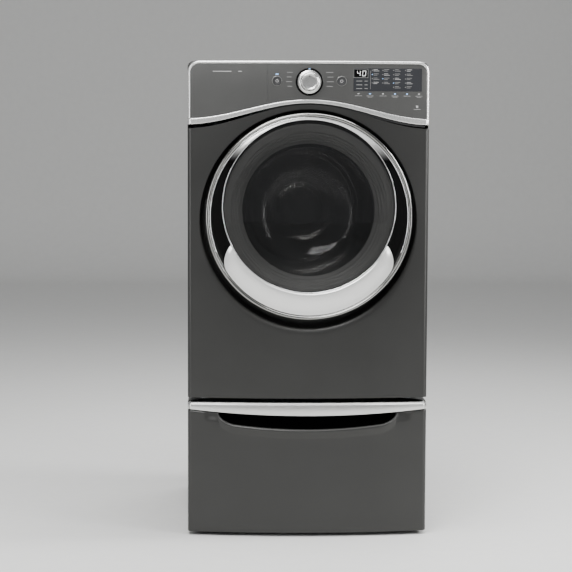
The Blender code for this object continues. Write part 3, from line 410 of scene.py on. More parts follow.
# Pressed borosilicate bowl: clear, with slow ripples from the mould
CLEAR = Finish(
    "pressed_borosilicate_glass", Grain.POLISHED, "26282A", "303234", (0.02, 0.06), 0.0, 40.0, 0.010,
    ior=2.0, alpha=0.30
)
# Smoked acrylic window over the display
SMOKED = Finish(
    "smoked_acrylic", Grain.POLISHED, "26272A", "2E2F32", (0.08, 0.14), 0.0, 40.0, 0.002, coat=0.4
)
# Pad-printed light grey ink
INK = Finish("pad_printed_ink", Grain.MOULDED, "A4A4A3", "B0B0AF", (0.45, 0.55), 0.0, 0.6, 0.002)
# Faint pad-printed ink for the legend lines that are not lit
FAINT = Finish("dim_pad_printed_ink", Grain.MOULDED, "787877", "828281", (0.45, 0.55), 0.0, 0.6, 0.002)
# Backlit white segment behind a diffuser
DIGIT = Finish(
    "backlit_white_segment", Grain.LIT, "F2F5F8", "FFFFFF", (0.40, 0.50), 0.0, 2.0, 0.001, glow=1.1
)
# Blue light-emitting diode behind a diffuser
BLUE = Finish(
    "blue_indicator_light", Grain.LIT, "7FB0EA", "A9CBF2", (0.40, 0.50), 0.0, 2.0, 0.001, glow=0.7
)
# Painted shade for a pierced hole in the drum's wall: a dark dimple where no light comes back out of the
# hole
HOLE_PAINTED_SHADE = Finish(
    "pierced_drum_hole", Grain.SPUN, "26272A", "3A3B3E", (0.35, 0.50), 0.8, 0.8, 0.002,
    centre=(0.0, 0.0, AXIS_Z)
)
# Matt plaster, painted pale grey
PLASTER = Finish("painted_plaster", Grain.MOULDED, "D3D3D1", "DADAD8", (0.75, 0.85), 0.0, 3.0, 0.02)


# ---------------------------------------------------------------- shaping


def spread(low: float, high: float, count: int) -> list[float]:
    """Evenly spaced values from low to high, both ends included."""
    return [low + (high - low) * i / (count - 1) for i in range(count)]


def mix(a: Sequence[float], b: Sequence[float], t: float) -> tuple:
    """The point that lies t of the way from a to b."""
    return tuple(p + (q - p) * t for p, q in zip(a, b))


def smooth(value: float) -> float:
    """Eases a value from 0 to 1, flat at both ends and held outside them."""
    t = min(max(value, 0.0), 1.0)
    return t * t * (3 - 2 * t)


def front_y(x: float, bow: float = BOW, out: float = 0.0) -> float:
    """Depth of the bowed front with its rounded upright edges.

    Args:
        x: place across the front.
        bow: how far the middle stands out.
        out: how far the surface is moved forward.

    Returns:
        The y of the surface.
    """
    turn = HALF - CORNER_ROUND
    across = min(abs(x), HALF)
    if across <= turn:
        return FRONT - out - bow * (1 - (across / HALF) ** 2)
    dip = bow * (1 - (turn / HALF) ** 2)
    share = (across - turn) / CORNER_ROUND
    return FRONT - out + CORNER_ROUND - (CORNER_ROUND + dip) * sqrt(max(0.0, 1 - share * share))


def front_path(
    bow: float, out: float, back: float = WRAP, low: float = -HALF, high: float = HALF
) -> list[Flat]:
    """The bowed front in plan, from the left side round to the right.

    Args:
        bow: how far the middle stands out.
        out: how far the line is moved forward.
        back: where the sides end.
        low: left end across the front, -HALF to go round the corner.
        high: right end, HALF to go round the corner.

    Returns:
        Points (x, y) in order.
    """
    turn = HALF - CORNER_ROUND
    corner = [turn + CORNER_ROUND * cos(radians(a)) for a in (0, 10, 20, 32, 45, 60, 75)]
    inner = spread(max(low, -turn), min(high, turn), 72)
    xs = ([-x for x in corner] if low <= -HALF else []) + inner + (corner[::-1] if high >= HALF else [])
    line = [(x, front_y(x, bow, out)) for x in xs]
    if low <= -HALF:
        line = [(-HALF, back)] + line
    if high >= HALF:
        line = line + [(HALF, back)]
    return line


def outward(path: Sequence[Flat]) -> list[Flat]:
    """Unit normals of a plan line that runs from left to right, on its front side."""
    found = []
    for i in range(len(path)):
        a, b = path[max(i - 1, 0)], path[min(i + 1, len(path) - 1)]
        run, rise = b[0] - a[0], b[1] - a[1]
        size = hypot(run, rise)
        found.append((rise / size, -run / size))
    return found


def fillet(points: Sequence[Flat], radius: float, steps: int = 4, closed: bool = True) -> list[Flat]:
    """Rounds the corners of an outline.

    Args:
        points: the sharp outline.
        radius: how far back from each corner the round starts.
        steps: segments in each round.
        closed: whether the outline closes on itself.

    Returns:
        The rounded outline.
    """
    made: list[Flat] = []
    count = len(points)
    for i, corner in enumerate(points):
        if not closed and i in (0, count - 1):
            made.append(tuple(corner))
            continue
        before, after = points[i - 1], points[(i + 1) % count]
        ends = []
        for other in (before, after):
            length = dist(corner, other)
            ends.append(mix(corner, other, min(radius / length, 0.48) if length else 0.0))
        for step in range(steps + 1):
            t = step / steps
            made.append(mix(mix(ends[0], corner, t), mix(corner, ends[1], t), t))
    return made


def arc(centre: Flat, radius: float, start: float, end: float, count: int) -> list[Flat]:
    """Points on a circle between two angles in degrees, both ends included."""
    return [
        (centre[0] + radius * cos(radians(a)), centre[1] + radius * sin(radians(a)))
        for a in spread(start, end, count)
    ]


@dataclass
class Stock:
    """Points and faces of one piece while it is being shaped."""

    name: str
    points: list[Point] = field(default_factory=list)
    faces: list[tuple[int, ...]] = field(default_factory=list)

    def rows(
        self, rows: Sequence[Sequence[Point]], ring: bool = False, loop: bool = False, caps: bool = False
    ) -> Stock:
        """Joins rows of equally many points.

        Args:
            rows: the rows in order.
            ring: joins each row's last point to its first.
            loop: joins the last row to the first.
            caps: closes the first and the last row with a face.

        Returns:
            This stock, so that calls can follow each other.
        """
        start, width = len(self.points), len(rows[0])
        for row in rows:
            self.points.extend(tuple(p) for p in row)
        for r in range(len(rows) if loop else len(rows) - 1):
            a, b = start + r * width, start + ((r + 1) % len(rows)) * width
            for i in range(width if ring else width - 1):
                j = (i + 1) % width
                self.faces.append((a + i, a + j, b + j, b + i))
        if caps:
            self.faces.append(tuple(range(start, start + width)))
            last = start + (len(rows) - 1) * width
            self.faces.append(tuple(reversed(range(last, last + width))))
        return self

    def turned(
        self, profile: Sequence[Flat], centre: Flat, steps: int = 160, closed: bool = True,
        aspect: float = 1.0
    ) -> Stock:
        """Turns a profile of (radius, y) round an axis along Y.

        Args:
            profile: the points, running from the axis to the axis where closed is false.
            centre: x and z of the axis.
            steps: segments round the axis.
            closed: joins the profile's last point to its first.
            aspect: how far the shape is squeezed across.

        Returns:
            This stock.
        """
        angles = [2 * pi * i / steps for i in range(steps)]
        rows = [
            [(centre[0] + r * aspect * sin(a), y, centre[1] + r * cos(a)) for a in angles]
            for r, y in profile
        ]
        return self.rows(rows, ring=True, loop=closed)

    def upright(self, profile: Sequence[Flat], centre: Flat, steps: int = 48) -> Stock:
        """Turns an open profile of (radius, z) round an upright axis at (x, y)."""
        angles = [2 * pi * i / steps for i in range(steps)]
        rows = [[(centre[0] + r * cos(a), centre[1] + r * sin(a), z) for a in angles] for r, z in profile]
        return self.rows(rows, ring=True)

    def box(self, low: Point, high: Point, edge: float) -> Stock:
        """A block with rounded upright edges and softened top and bottom.

        Args:
            low: its lowest corner.
            high: its highest corner.
            edge: radius of its edges.

        Returns:
            This stock.
        """
        rows = []
        for inset, z in ((edge, low[2]), (edge * 0.3, low[2] + edge * 0.3), (0.0, low[2] + edge)):
            rows.append((inset, z))
        rows += [(inset, low[2] + high[2] - z) for inset, z in reversed(rows)]
        made = []
        for inset, z in rows:
            a, b = (low[0] + inset, low[1] + inset), (high[0] - inset, high[1] - inset)
            plan = fillet([a, (b[0], a[1]), b, (a[0], b[1])], edge, 3)
            made.append([(x, y, z) for x, y in plan])
        return self.rows(made, ring=True, caps=True)

    def band(self, path: Sequence[Flat], low: Curve, high: Curve, wall: float, lip: float) -> Stock:
        """A strip along a plan line, between two heights, with rounded front edges.

        Args:
            path: the line of its front face.
            low: height of its lower edge at x.
            high: height of its upper edge at x.
            wall: its thickness.
            lip: radius of its front edges.

        Returns:
            This stock.
        """
        rows = []
        for (x, y), (nx, ny) in zip(path, outward(path)):
            bottom, top = low(x), high(x)
            edge = min(lip, (top - bottom) * 0.45)
            section = fillet([(wall, bottom), (0.0, bottom), (0.0, top), (wall, top)], edge, 5)
            rows.append([(x - nx * d, y - ny * d, z) for d, z in section])
        return self.rows(rows, ring=True, caps=True)

    def piece(self, finish: Finish, sharp: float = 32.0, wall: float = 0.0) -> Object:
        """Ends the shaping: merges, turns the faces outwards and dresses the piece.

        Args:
            finish: what it is made of.
            sharp: edges that turn by more than this many degrees stay crisp.
            wall: thickness given to an open sheet, away from its front.

        Returns:
            The finished object.
        """
        mesh = bpy.data.meshes.new(self.name)
        mesh.from_pydata(self.points, [], self.faces)
        work = bmesh.new()
        work.from_mesh(mesh)
        bmesh.ops.remove_doubles(work, verts=work.verts, dist=0.000002)
        bmesh.ops.dissolve_degenerate(work, edges=work.edges, dist=0.000001)
        bmesh.ops.recalc_face_normals(work, faces=work.faces)
        work.to_mesh(mesh)
        work.free()
        obj = bpy.data.objects.new(self.name, mesh)
        bpy.context.scene.collection.objects.link(obj)
        if wall:
            shell = obj.modifiers.new("wall", "SOLIDIFY")
            shell.thickness = abs(wall)
            shell.offset = -1.0 if wall > 0 else 1.0
            shell.use_even_offset = False
            obj = settled(obj)
        dress(obj, finish, sharp)
        return obj


def settled(obj: Object) -> Object:
    """Replaces an object by a plain mesh of what its modifiers make.

    Args:
        obj: the object with live modifiers.

    Returns:
        A new object of the same name, at the origin, without modifiers.
    """
    bpy.context.view_layer.update()
    graph = bpy.context.evaluated_depsgraph_get()
    mesh = bpy.data.meshes.new_from_object(obj.evaluated_get(graph))
    mesh.transform(obj.matrix_world)
    name = obj.name
    bpy.data.objects.remove(obj)
    made = bpy.data.objects.new(name, mesh)
    bpy.context.scene.collection.objects.link(made)
    return made


def dress(obj: Object, finish: Finish, sharp: float = 32.0) -> None:
    """Gives a piece its finish and smooth shading with crisp edges."""
    obj.data.materials.clear()
    obj.data.materials.append(finish.material())
    obj.data.shade_smooth()
    obj.data.set_sharp_from_angle(angle=radians(sharp))


def cut(obj: Object, tools: Sequence[Object], finish: Finish, sharp: float = 32.0) -> Object:
    """Cuts holes in a piece.

    Args:
        obj: the piece.
        tools: closed shapes, which are used up.
        finish: what the piece is made of.
        sharp: edges that turn by more than this many degrees stay crisp.

    Returns:
        The piece with its holes.
    """
    for tool in tools:
        step = obj.modifiers.new(tool.name, "BOOLEAN")
        step.operation = "DIFFERENCE"
        step.solver = "EXACT"
        step.object = tool
    made = settled(obj)
    for tool in tools:
        bpy.data.objects.remove(tool)
    dress(made, finish, sharp)
    return made


def fit(obj: Object, body: str, slot: str, *nodes: str) -> Object:
    """Puts a finished piece on its body.

    Args:
        obj: the piece.
        body: the body that it moves with.
        slot: not used.
        nodes: the solids that it stands for.

    Returns:
        The piece.
    """
    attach(obj, body)
    settle_slot(obj, nodes)
    return obj


def settle_slot(obj: Object, nodes: Sequence[str]) -> None:
    """Hides the solids that a piece stands for, and reports the piece."""
    if nodes:
        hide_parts(*nodes)
    LOG.info("%s: %d faces, %s", obj.name, len(obj.data.polygons), obj.data.materials[0].name)


# ---------------------------------------------------------------- repeated shapes


@dataclass(frozen=True)
class Repeat:
    """Geometry Nodes trees that set one pattern at many places."""

    name: str

    def inputs(self, tree: Tree, sockets: dict[str, str]) -> tuple[bpy.types.Node, dict[str, str]]:
        """Adds the tree's named inputs and its one output.

        Args:
            tree: the new tree.
            sockets: input name to socket type.

        Returns:
            The input node, and each input's identifier by its name.
        """
        keys = {}
        for label, kind in sockets.items():
            keys[label] = tree.interface.new_socket(label, in_out="INPUT", socket_type=kind).identifier
        tree.interface.new_socket("Geometry", in_out="OUTPUT", socket_type="NodeSocketGeometry")
        return tree.nodes.new("NodeGroupInput"), keys

    def finish_tree(self, tree: Tree, given: bpy.types.Node, points: Socket, facing: Socket) -> None:
        """Sets the pattern on the points, turned to face out, then realizes and dresses it."""
        shape = add(
            tree, "GeometryNodeObjectInfo", {"Object": given.outputs["Pattern"], "As Instance": True}
        )
        turn = add(tree, "FunctionNodeAlignRotationToVector", {"Vector": facing}, axis="Z")
        placed = add(
            tree,
            "GeometryNodeInstanceOnPoints",
            {"Points": points, "Instance": shape.outputs["Geometry"], "Rotation": turn.outputs[0]},
        )
        real = add(tree, "GeometryNodeRealizeInstances", {0: placed.outputs[0]})
        dressed = add(
            tree, "GeometryNodeSetMaterial", {"Geometry": real.outputs[0],
            "Material": given.outputs["Finish"]}
        )
        add(tree, "NodeGroupOutput", {0: dressed.outputs[0]})

    def run(
        self, tree: Tree, values: dict[str, object], mesh: bpy.types.Mesh, finish: Finish,
        sharp: float
    ) -> Object:
        """Evaluates a tree and keeps what it makes as a plain mesh.

        Args:
            tree: the finished tree.
            values: input identifier to its value.
            mesh: the points that it starts from.
            finish: what the pieces are made of.
            sharp: edges that turn by more than this many degrees stay crisp.

        Returns:
            The plain object.
        """
        obj = bpy.data.objects.new(self.name, mesh)
        step = obj.modifiers.new("repeat", "NODES")
        step.node_group = tree
        for key, value in values.items():
            step[key] = value
        bpy.context.scene.collection.objects.link(obj)
        made = settled(obj)
        dress(made, finish, sharp)
        return made

    def at_points(
        self, places: Sequence[tuple[Point, Point]], pattern: Object, finish: Finish,
        sharp: float = 32.0
    ) -> Object:
        """Sets the pattern at given places.

        Args:
            places: each place and the direction that its pattern faces.
            pattern: the shape, made round the origin and facing +Z, which is used up.
            finish: what it is made of.
            sharp: edges that turn by more than this many degrees stay crisp.

        Returns:
            One plain object with every copy.
        """
        tree = bpy.data.node_groups.new(self.name, "GeometryNodeTree")
        sockets = {
            "Places": "NodeSocketGeometry", "Pattern": "NodeSocketObject", "Finish": "NodeSocketMaterial"
        }
        given, keys = self.inputs(tree, sockets)
        facing = add(tree, "GeometryNodeInputNamedAttribute", {"Name": "facing"}, data_type="FLOAT_VECTOR")
        self.finish_tree(tree, given, given.outputs["Places"], facing.outputs[0])
        mesh = bpy.data.meshes.new(self.name)
        mesh.from_pydata([place for place, _ in places], [], [])
        layer = mesh.attributes.new("facing", "FLOAT_VECTOR", "POINT")
        for entry, (_, direction) in zip(layer.data, places):
            entry.vector = direction
        values = {keys["Pattern"]: pattern, keys["Finish"]: finish.material()}
        made = self.run(tree, values, mesh, finish, sharp)
        bpy.data.objects.remove(pattern)
        return made

    def round_wall(
        self, radius: float, start: float, pitch: float, rows: int, columns: int,
        pattern: Object, finish: Finish
    ) -> Object:
        """Sets staggered rows of the pattern on the inside of a wall round the drum's axis.

        Args:
            radius: radius of the wall.
            start: y of the first row.
            pitch: distance between rows.
            rows: number of rows.
            columns: patterns in each row.
            pattern: the shape, facing +Z, which is used up.
            finish: what it is made of.

        Returns:
            One plain object with every copy.
        """
        tree = bpy.data.node_groups.new(self.name, "GeometryNodeTree")
        sockets = {
            "Pattern": "NodeSocketObject", "Finish": "NodeSocketMaterial", "Radius": "NodeSocketFloat"
        }
        sockets |= {"Start": "NodeSocketFloat", "Pitch": "NodeSocketFloat", "Rows": "NodeSocketInt"}
        sockets |= {"Columns": "NodeSocketInt", "Axis Height": "NodeSocketFloat"}
        given, keys = self.inputs(tree, sockets)
        total = self.maths(tree, "MULTIPLY", given.outputs["Rows"], given.outputs["Columns"])
        cloud = add(tree, "GeometryNodePoints", {"Count": total})
        index = add(tree, "GeometryNodeInputIndex").outputs[0]
        row = self.maths(tree, "FLOOR", self.maths(tree, "DIVIDE", index, given.outputs["Columns"]), 0.0)
        column = self.maths(tree, "MODULO", index, given.outputs["Columns"])
        stagger = self.maths(tree, "MULTIPLY", self.maths(tree, "MODULO", row, 2.0), 0.5)
        share = self.maths(
            tree, "DIVIDE", self.maths(tree, "ADD", column, stagger), given.outputs["Columns"]
        )
        angle = self.maths(tree, "MULTIPLY", share, 2 * pi)
        sine, cosine = self.maths(tree, "SINE", angle, 0.0), self.maths(tree, "COSINE", angle, 0.0)
        across = self.maths(tree, "MULTIPLY", sine, given.outputs["Radius"])
        rise = self.maths(tree, "MULTIPLY", cosine, given.outputs["Radius"])
        height = self.maths(tree, "ADD", rise, given.outputs["Axis Height"])
        along = self.maths(
            tree, "ADD", self.maths(tree, "MULTIPLY", row, given.outputs["Pitch"]), given.outputs["Start"]
        )
        place = add(tree, "ShaderNodeCombineXYZ", {"X": across, "Y": along, "Z": height}).outputs[0]
        radial = add(tree, "ShaderNodeCombineXYZ", {"X": across, "Z": rise}).outputs[0]
        inward = add(tree, "ShaderNodeVectorMath", {0: radial, "Scale": -1.0}, operation="SCALE").outputs[0]
        set_out = add(
            tree, "GeometryNodeSetPosition", {"Geometry": cloud.outputs[0], "Position": place}
        ).outputs[0]
        kept = add(
            tree, "GeometryNodeStoreNamedAttribute",
            {"Geometry": set_out, "Name": "facing", "Value": inward}, data_type="FLOAT_VECTOR"
        )
        facing = add(tree, "GeometryNodeInputNamedAttribute", {"Name": "facing"}, data_type="FLOAT_VECTOR")
        self.finish_tree(tree, given, kept.outputs[0], facing.outputs[0])
        numbers = {
            "Radius": radius, "Start": start, "Pitch": pitch, "Rows": rows, "Columns": columns,
            "Axis Height": AXIS_Z
        }
        values = {keys[label]: value for label, value in numbers.items()}
        values |= {keys["Pattern"]: pattern, keys["Finish"]: finish.material()}
        made = self.run(tree, values, bpy.data.meshes.new(self.name), finish, 32.0)
        bpy.data.objects.remove(pattern)
        return made

    def maths(self, tree: Tree, operation: str, a: object, b: object) -> Socket:
        """One step of arithmetic in a tree."""
        return add(tree, "ShaderNodeMath", {0: a, 1: b}, operation=operation).outputs[0]


def screw_head(radius: float) -> Object:
    """A pan head with a hexagon flange and a cross recess, facing +Z at the origin.

    Args:
        radius: radius of the flange.

    Returns:
        The pattern object.
    """
    stock = Stock("screw_pattern")
    turns = 18
    profile = [(radius, 0.0), (radius, 0.0006), (radius * 0.9, 0.0010)]
    profile += [(radius * 0.74, 0.0012), (radius * 0.7, 0.0026), (radius * 0.45, 0.0034)]
    rows = []
    for step, (r, z) in enumerate(profile):
        row = []
        for i in range(turns):
            angle = 2 * pi * i / turns
            edge = 0.93 if step in (3, 4) and i % 3 else 1.0
            row.append((r * edge * cos(angle), r * edge * sin(angle), z))
        rows.append(row)
    rows.append([
        (0.3 * p[0] * (1 if i % 3 else 1.5), 0.3 * p[1] * (1 if i % 3 else 1.5), 0.0022)
        for i, p in enumerate(rows[-1])
    ])
    stock.rows(rows, ring=True, caps=True)
    return stock.piece(ZINC)


# ---------------------------------------------------------------- pedestal


@dataclass
class Pedestal:
    """The steel cabinet that the machine stands on, with its four feet."""

    bottom: float = 0.012
    top: float = 0.3865
    wall: float = 0.0018
    foot_inset: float = 0.045

    def cabinet(self) -> None:
        """The folded steel shell, open in front, with a return flange round the opening."""
        stock = Stock("pedestal_shell")
        back, front = BACK, WRAP + GAP
        outline = fillet(
            [(HALF, front), (HALF, back), (-HALF, back), (-HALF, front)], 0.005, 5, closed=False
        )
        heights = [self.bottom, self.bottom + 0.0012, self.top - 0.0025, self.top - 0.0007, self.top]
        insets = [0.0008, 0.0, 0.0, 0.0008, 0.0025]
        middle = (front + back) / 2
        rows = []
        for z, inset in zip(heights, insets):
            rows.append([
                (x - math.copysign(inset, x), y - math.copysign(inset, y - middle)
                * (0 if y < front + 0.001 else 1), z) for x, y in outline
            ])
        lid = [(x * 0.5, middle + (y - middle) * 0.5, self.top) for x, y in outline]
        floor = [(x * 0.5, middle + (y - middle) * 0.5, self.bottom) for x, y in outline]
        stock.rows([floor] + rows + [lid])
        centre_low, centre_high = len(stock.points), len(stock.points) + 1
        width = len(outline)
        stock.points += [(0.0, middle, self.bottom), (0.0, middle, self.top)]
        for i in range(width - 1):
            stock.faces.append((centre_low, i, i + 1))
            last = (len(rows) + 1) * width
            stock.faces.append((centre_high, last + i, last + i + 1))
        shell = stock.piece(GRAPHITE, wall=self.wall)
        fit(shell, "cabinet", "graphite_paint", "pedestal_cabinet")

    def feet(self) -> None:
        """Four levelling feet: a threaded stem, a lock nut and a ribbed rubber shoe."""
        places = {
            "front_left": (-HALF + self.foot_inset, WRAP + self.foot_inset),
            "front_right": (HALF - self.foot_inset, WRAP + self.foot_inset),
            "rear_left": (-HALF + self.foot_inset, BACK - self.foot_inset),
            "rear_right": (HALF - self.foot_inset, BACK - self.foot_inset),
        }
        for label, place in places.items():
            profile = [(0.0, 0.0), (0.0165, 0.0), (0.0180, 0.0007), (0.0190, 0.0022), (0.0190, 0.0040)]
            profile += [
                (0.0176, 0.0052), (0.0172, 0.0064), (0.0150, 0.0072), (0.0092, 0.0078), (0.0092, 0.0098)
            ]
            profile += [
                (0.0068, 0.0100), (0.0068, 0.0104), (0.0060, 0.0107), (0.0068, 0.0110), (0.0060, 0.0114)
            ]
            profile += [(0.0060, 0.0117), (0.0, 0.0117)]
            foot = Stock(f"foot_{label}").upright(profile, place).piece(RUBBER)
            fit(foot, "cabinet", "black_rubber", f"pedestal_foot_{label}")

    def build(self) -> None:
        """Builds the pedestal's fixed pieces."""
        self.cabinet()
        self.feet()


@dataclass
class StorageDrawer:
    """The pedestal's bowed drawer front with its finger scoop, and the silver trim above it."""

    bottom: float = 0.0113
    top: float = 0.3870
    trim_mid: float = 0.3499
    trim_bend: float = 0.142
    lip_mid: float = 0.3118
    lip_bend: float = 0.296
    scoop_half: float = 0.2565
    dish_half: float = 0.302
    dish: float = 0.0045
    scoop_back: float = FRONT + 0.0120
    scoop_fade: float = 0.052
    lip_round: float = 0.0070
    swell: float = 0.0065
    swell_run: float = 0.030
    wall: float = 0.0019

    def trim_line(self, x: float) -> float:
        """Height of the trim's lower edge."""
        return self.trim_mid + self.trim_bend * x * x

    def lip_line(self, x: float) -> float:
        """Height of the scoop's lip."""
        return self.lip_mid + self.lip_bend * x * x

    def open_share(self, x: float) -> float:
        """How far the scoop is open at x: 1 along its middle, rounded off to 0 at its ends."""
        past = max(0.0, 1.0 - (self.scoop_half - abs(x)) / self.scoop_fade)
        return sqrt(max(0.0, 1.0 - past * past))

    def section(self, x: float, y: float, normal: Flat) -> list[Point]:
        """The sheet's section at one place: up the front, out to the swollen lip and over it.

        Past the opening's ends the sheet is dished in instead, so that the lip dies away softly.

        Args:
            x: place across the front.
            y: depth of the front there.
            normal: the front's outward direction there.

        Returns:
            Points from the bottom edge to the lip's return.
        """
        share = self.open_share(x)
        top = self.trim_line(x) - 2 * GAP
        lip = top + (self.lip_line(x) - top) * share
        beyond = smooth((self.dish_half - abs(x)) / 0.026) * smooth(
            (abs(x) - self.scoop_half + 0.016) / 0.024
        )
        out, roll = self.swell * share - self.dish * beyond, self.lip_round
        start = lip - self.swell_run
        made = [(0.010, self.bottom), (0.0012, self.bottom), (0.0003, self.bottom + 0.0006)]
        made += [(0.0, z) for z in spread(self.bottom + 0.002, start, 12)]
        made += [(-out * smooth(t), start + (self.swell_run - roll) * t) for t in spread(0.0, 1.0, 13)[1:]]
        for angle in range(15, 181, 15):
            turn = radians(angle)
            made.append((roll * (1 - cos(turn)) - out, lip - roll * (1 - sin(turn))))
        made.append((2 * roll - out, lip - 0.012))
        nx, ny = normal
        return [(x - nx * d, y - ny * d, z) for d, z in made]

    def liner(self) -> None:
        """The near-black sheet that closes the finger opening below, behind and above: painted shade for
        the hollow under the trim.
        """
        rows = []
        for x in [self.scoop_half * sin(radians(a)) for a in spread(-90.0, 90.0, 81)]:
            y = front_y(x, PEDESTAL_BOW)
            back = y + 0.0100 + (self.scoop_back - y - 0.0100) * self.open_share(x)
            low, high = self.lip_line(x) - 0.010, self.trim_line(x) + 0.001
            low = min(low, high - 0.012)
            rows.append([
                (x, y + 0.0090, low), (x, back, low - 0.004), (x, back, high), (x, y + 0.0090, high)
            ])
        liner = Stock("drawer_scoop_liner").rows(rows).piece(SCOOP_PAINTED_SHADE, wall=0.0010)
        fit(liner, "storage_drawer", "graphite_paint")

    def front(self) -> None:
        """The drawer front, one pressed sheet."""
        path = front_path(PEDESTAL_BOW, 0.0)
        turns = [radians(a) for a in spread(0.0, 90.0, 31)]
        ends = [self.scoop_half - self.scoop_fade * (1 - sin(t)) for t in turns]
        ends += spread(self.scoop_half + 0.001, self.dish_half, 16)
        extra = [s * x for x in ends for s in (-1, 1)]
        inner = [(x, front_y(x, PEDESTAL_BOW)) for x in extra]
        path = [path[0]] + sorted(path[1:-1] + inner) + [path[-1]]
        rows = [self.section(x, y, n) for (x, y), n in zip(path, outward(path))]
        sheet = Stock("drawer_front_sheet").rows(rows).piece(GRAPHITE, sharp=50.0, wall=self.wall)
        fit(sheet, "storage_drawer", "graphite_paint", "pedestal_drawer_front")

    def trim(self) -> None:
        """The brushed band along the top, bevelled above, with a dark line at each end."""
        rows = []
        path = front_path(PEDESTAL_BOW, 0.0018, FRONT + 0.028)
        ledge = self.top - 0.0060
        for (x, y), (nx, ny) in zip(path, outward(path)):
            low = self.trim_line(x)
            made = [(0.0060, low), (0.0010, low), (0.0003, low + 0.0005), (0.0, low + 0.0014)]
            made += [(0.0, ledge - 0.0014), (0.0003, ledge - 0.0005), (0.0010, ledge)]
            made += [(0.0068, self.top - 0.0004), (0.0074, self.top - GAP), (0.0084, self.top - GAP)]
            rows.append([(x - nx * d, y - ny * d, z) for d, z in made])
        trim = Stock("drawer_trim_band").rows(rows, ring=True, caps=True).piece(BRUSHED, 30.0)
        fit(trim, "storage_drawer", "satin_silver", "pedestal_drawer_trim")
        lines = Stock("drawer_trim_lines")
        for side in (-1, 1):
            ends = sorted((side * (HALF - 0.0058), side * (HALF - 0.0046)))
            path = [(x, front_y(x, PEDESTAL_BOW, 0.0020)) for x in spread(ends[0], ends[1], 4)]
            lines.band(path, lambda x: self.trim_line(x) + 0.0002, lambda x: ledge, 0.002, 0.0002)
        fit(lines.piece(MATT), "storage_drawer", "satin_silver")

    def build(self) -> None:
        """Builds the drawer's visible front."""
        self.front()
        self.liner()
        self.trim()


# ---------------------------------------------------------------- cabinet


